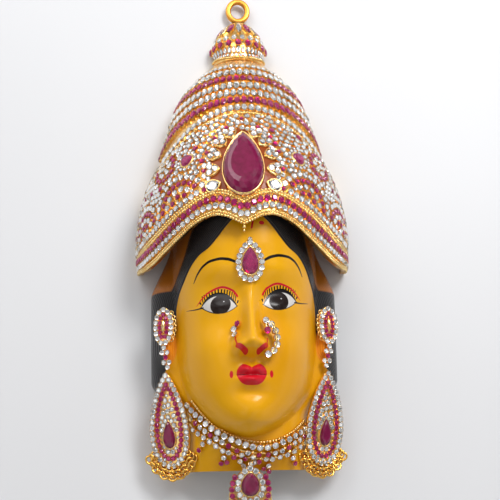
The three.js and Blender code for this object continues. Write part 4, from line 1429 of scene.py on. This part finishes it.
def hanging_ring():
    """Cast ring with rounded edges at the tip of the crown."""
    middle = [(a + b) / 2 for a, b in zip(RING["outer"], RING["hole"])]
    half = [(a - b) / 2 for a, b in zip(RING["outer"], RING["hole"])]
    turn, section = around(48)[:, None], around(16)
    out = squared(np.cos(section))
    rise = squared(np.sin(section)) * RING["thick"] / 2
    x = np.cos(turn) * (middle[0] + half[0] * out)
    y = np.sin(turn) * (middle[1] + half[1] * out) + RING["y"]
    z = np.broadcast_to(rise + RING["z"] + RING["thick"] / 2, x.shape)
    rings = np.stack([x, y, z], -1)
    pile = Pile()
    pile.add(loft(np.concatenate([rings, rings[:1]])), RING_GOLD, True)
    pile.build("tip_ring", "gold", "hanging_ring")


# Floor, light and camera


FLOOR_REACH = 3000
CAMERA_DIRECTION = (-0.0782, -0.268, 1)  # from the mask to the camera
CAMERA_TARGET, CAMERA_DISTANCE = (0.00295, -0.013, 0.03), 0.54  # metres
CAMERA_ROLL = math.radians(-1.25)


def build_stage():
    floor_material = mottled("pale_floor", (0.7, 0.705, 0.725), (0.68, 0.685, 0.705), 3, 2, Roughness=0.6)
    corners = [(x * FLOOR_REACH, y * FLOOR_REACH, -0.3) for x, y in ((-1, -1), (1, -1), (1, 1), (-1, 1))]
    floor = make_object("floor", corners, np.array([[0, 1, 2, 3]]), [floor_material])


def area_light(name, place, size, power):
    data = bpy.data.lights.new(name, "AREA")
    data.shape = "RECTANGLE"
    data.size, data.size_y = size
    data.energy = power
    lamp = bpy.data.objects.new(name, data)
    lamp.location = place
    lamp.rotation_euler = (Vector((0, 0, 0.03)) - Vector(place)).to_track_quat("-Z", "Y").to_euler()
    bpy.context.scene.collection.objects.link(lamp)


def build_lights():
    """Soft white surroundings with brighter and darker patches, and two lamps."""
    world = bpy.data.worlds.new("soft_white")
    nodes = Nodes(world, "BACKGROUND")
    place = nodes.node("ShaderNodeTexCoord").outputs["Generated"]
    noise = nodes.node("ShaderNodeTexNoise", (("Vector", place), ("Scale", 3.2), ("Detail", 2.0))).outputs[0]
    spread = (("Value", noise), ("From Min", 0.44), ("From Max", 0.58), ("To Min", 0.12), ("To Max", 0.98))
    nodes.feed(nodes.shader.inputs["Color"], (1.0, 0.995, 0.985))
    nodes.feed(nodes.shader.inputs["Strength"], nodes.node("ShaderNodeMapRange", spread).outputs["Result"])
    bpy.context.scene.world = world
    area_light("key", (0.42, 0.58, 0.9), (0.45, 0.35), 9.2)
    area_light("fill", (-0.5, 0.75, 0.75), (0.8, 0.6), 4.2)
    bpy.context.scene.view_settings.view_transform = "Standard"


def build_camera():
    back = Vector(CAMERA_DIRECTION).normalized()
    forward = -back
    up = (Vector((0, 1, 0)) - forward * forward.y).normalized()
    right = forward.cross(up)
    cos, sin = math.cos(CAMERA_ROLL), math.sin(CAMERA_ROLL)
    across = right * cos + up * sin
    upward = up * cos - right * sin
    place = Vector(CAMERA_TARGET) + back * CAMERA_DISTANCE
    data = bpy.data.cameras.new("camera")
    data.sensor_width = 36
    data.lens = 64
    camera = bpy.data.objects.new("camera", data)
    columns = Matrix((across, upward, back)).transposed().to_4x4()
    camera.matrix_world = Matrix.Translation(place) @ columns
    bpy.context.scene.collection.objects.link(camera)
    bpy.context.scene.camera = camera


for build in (build_camera, build_stage, build_lights, build_head, build_crown, brow_band, dome_rows,
              cone_rows, crown_centre, petals, rosettes, crown_field, forehead, nose_jewels, ear_studs,
              ear_drops, necklace, pendant, hanging_ring):
    build()
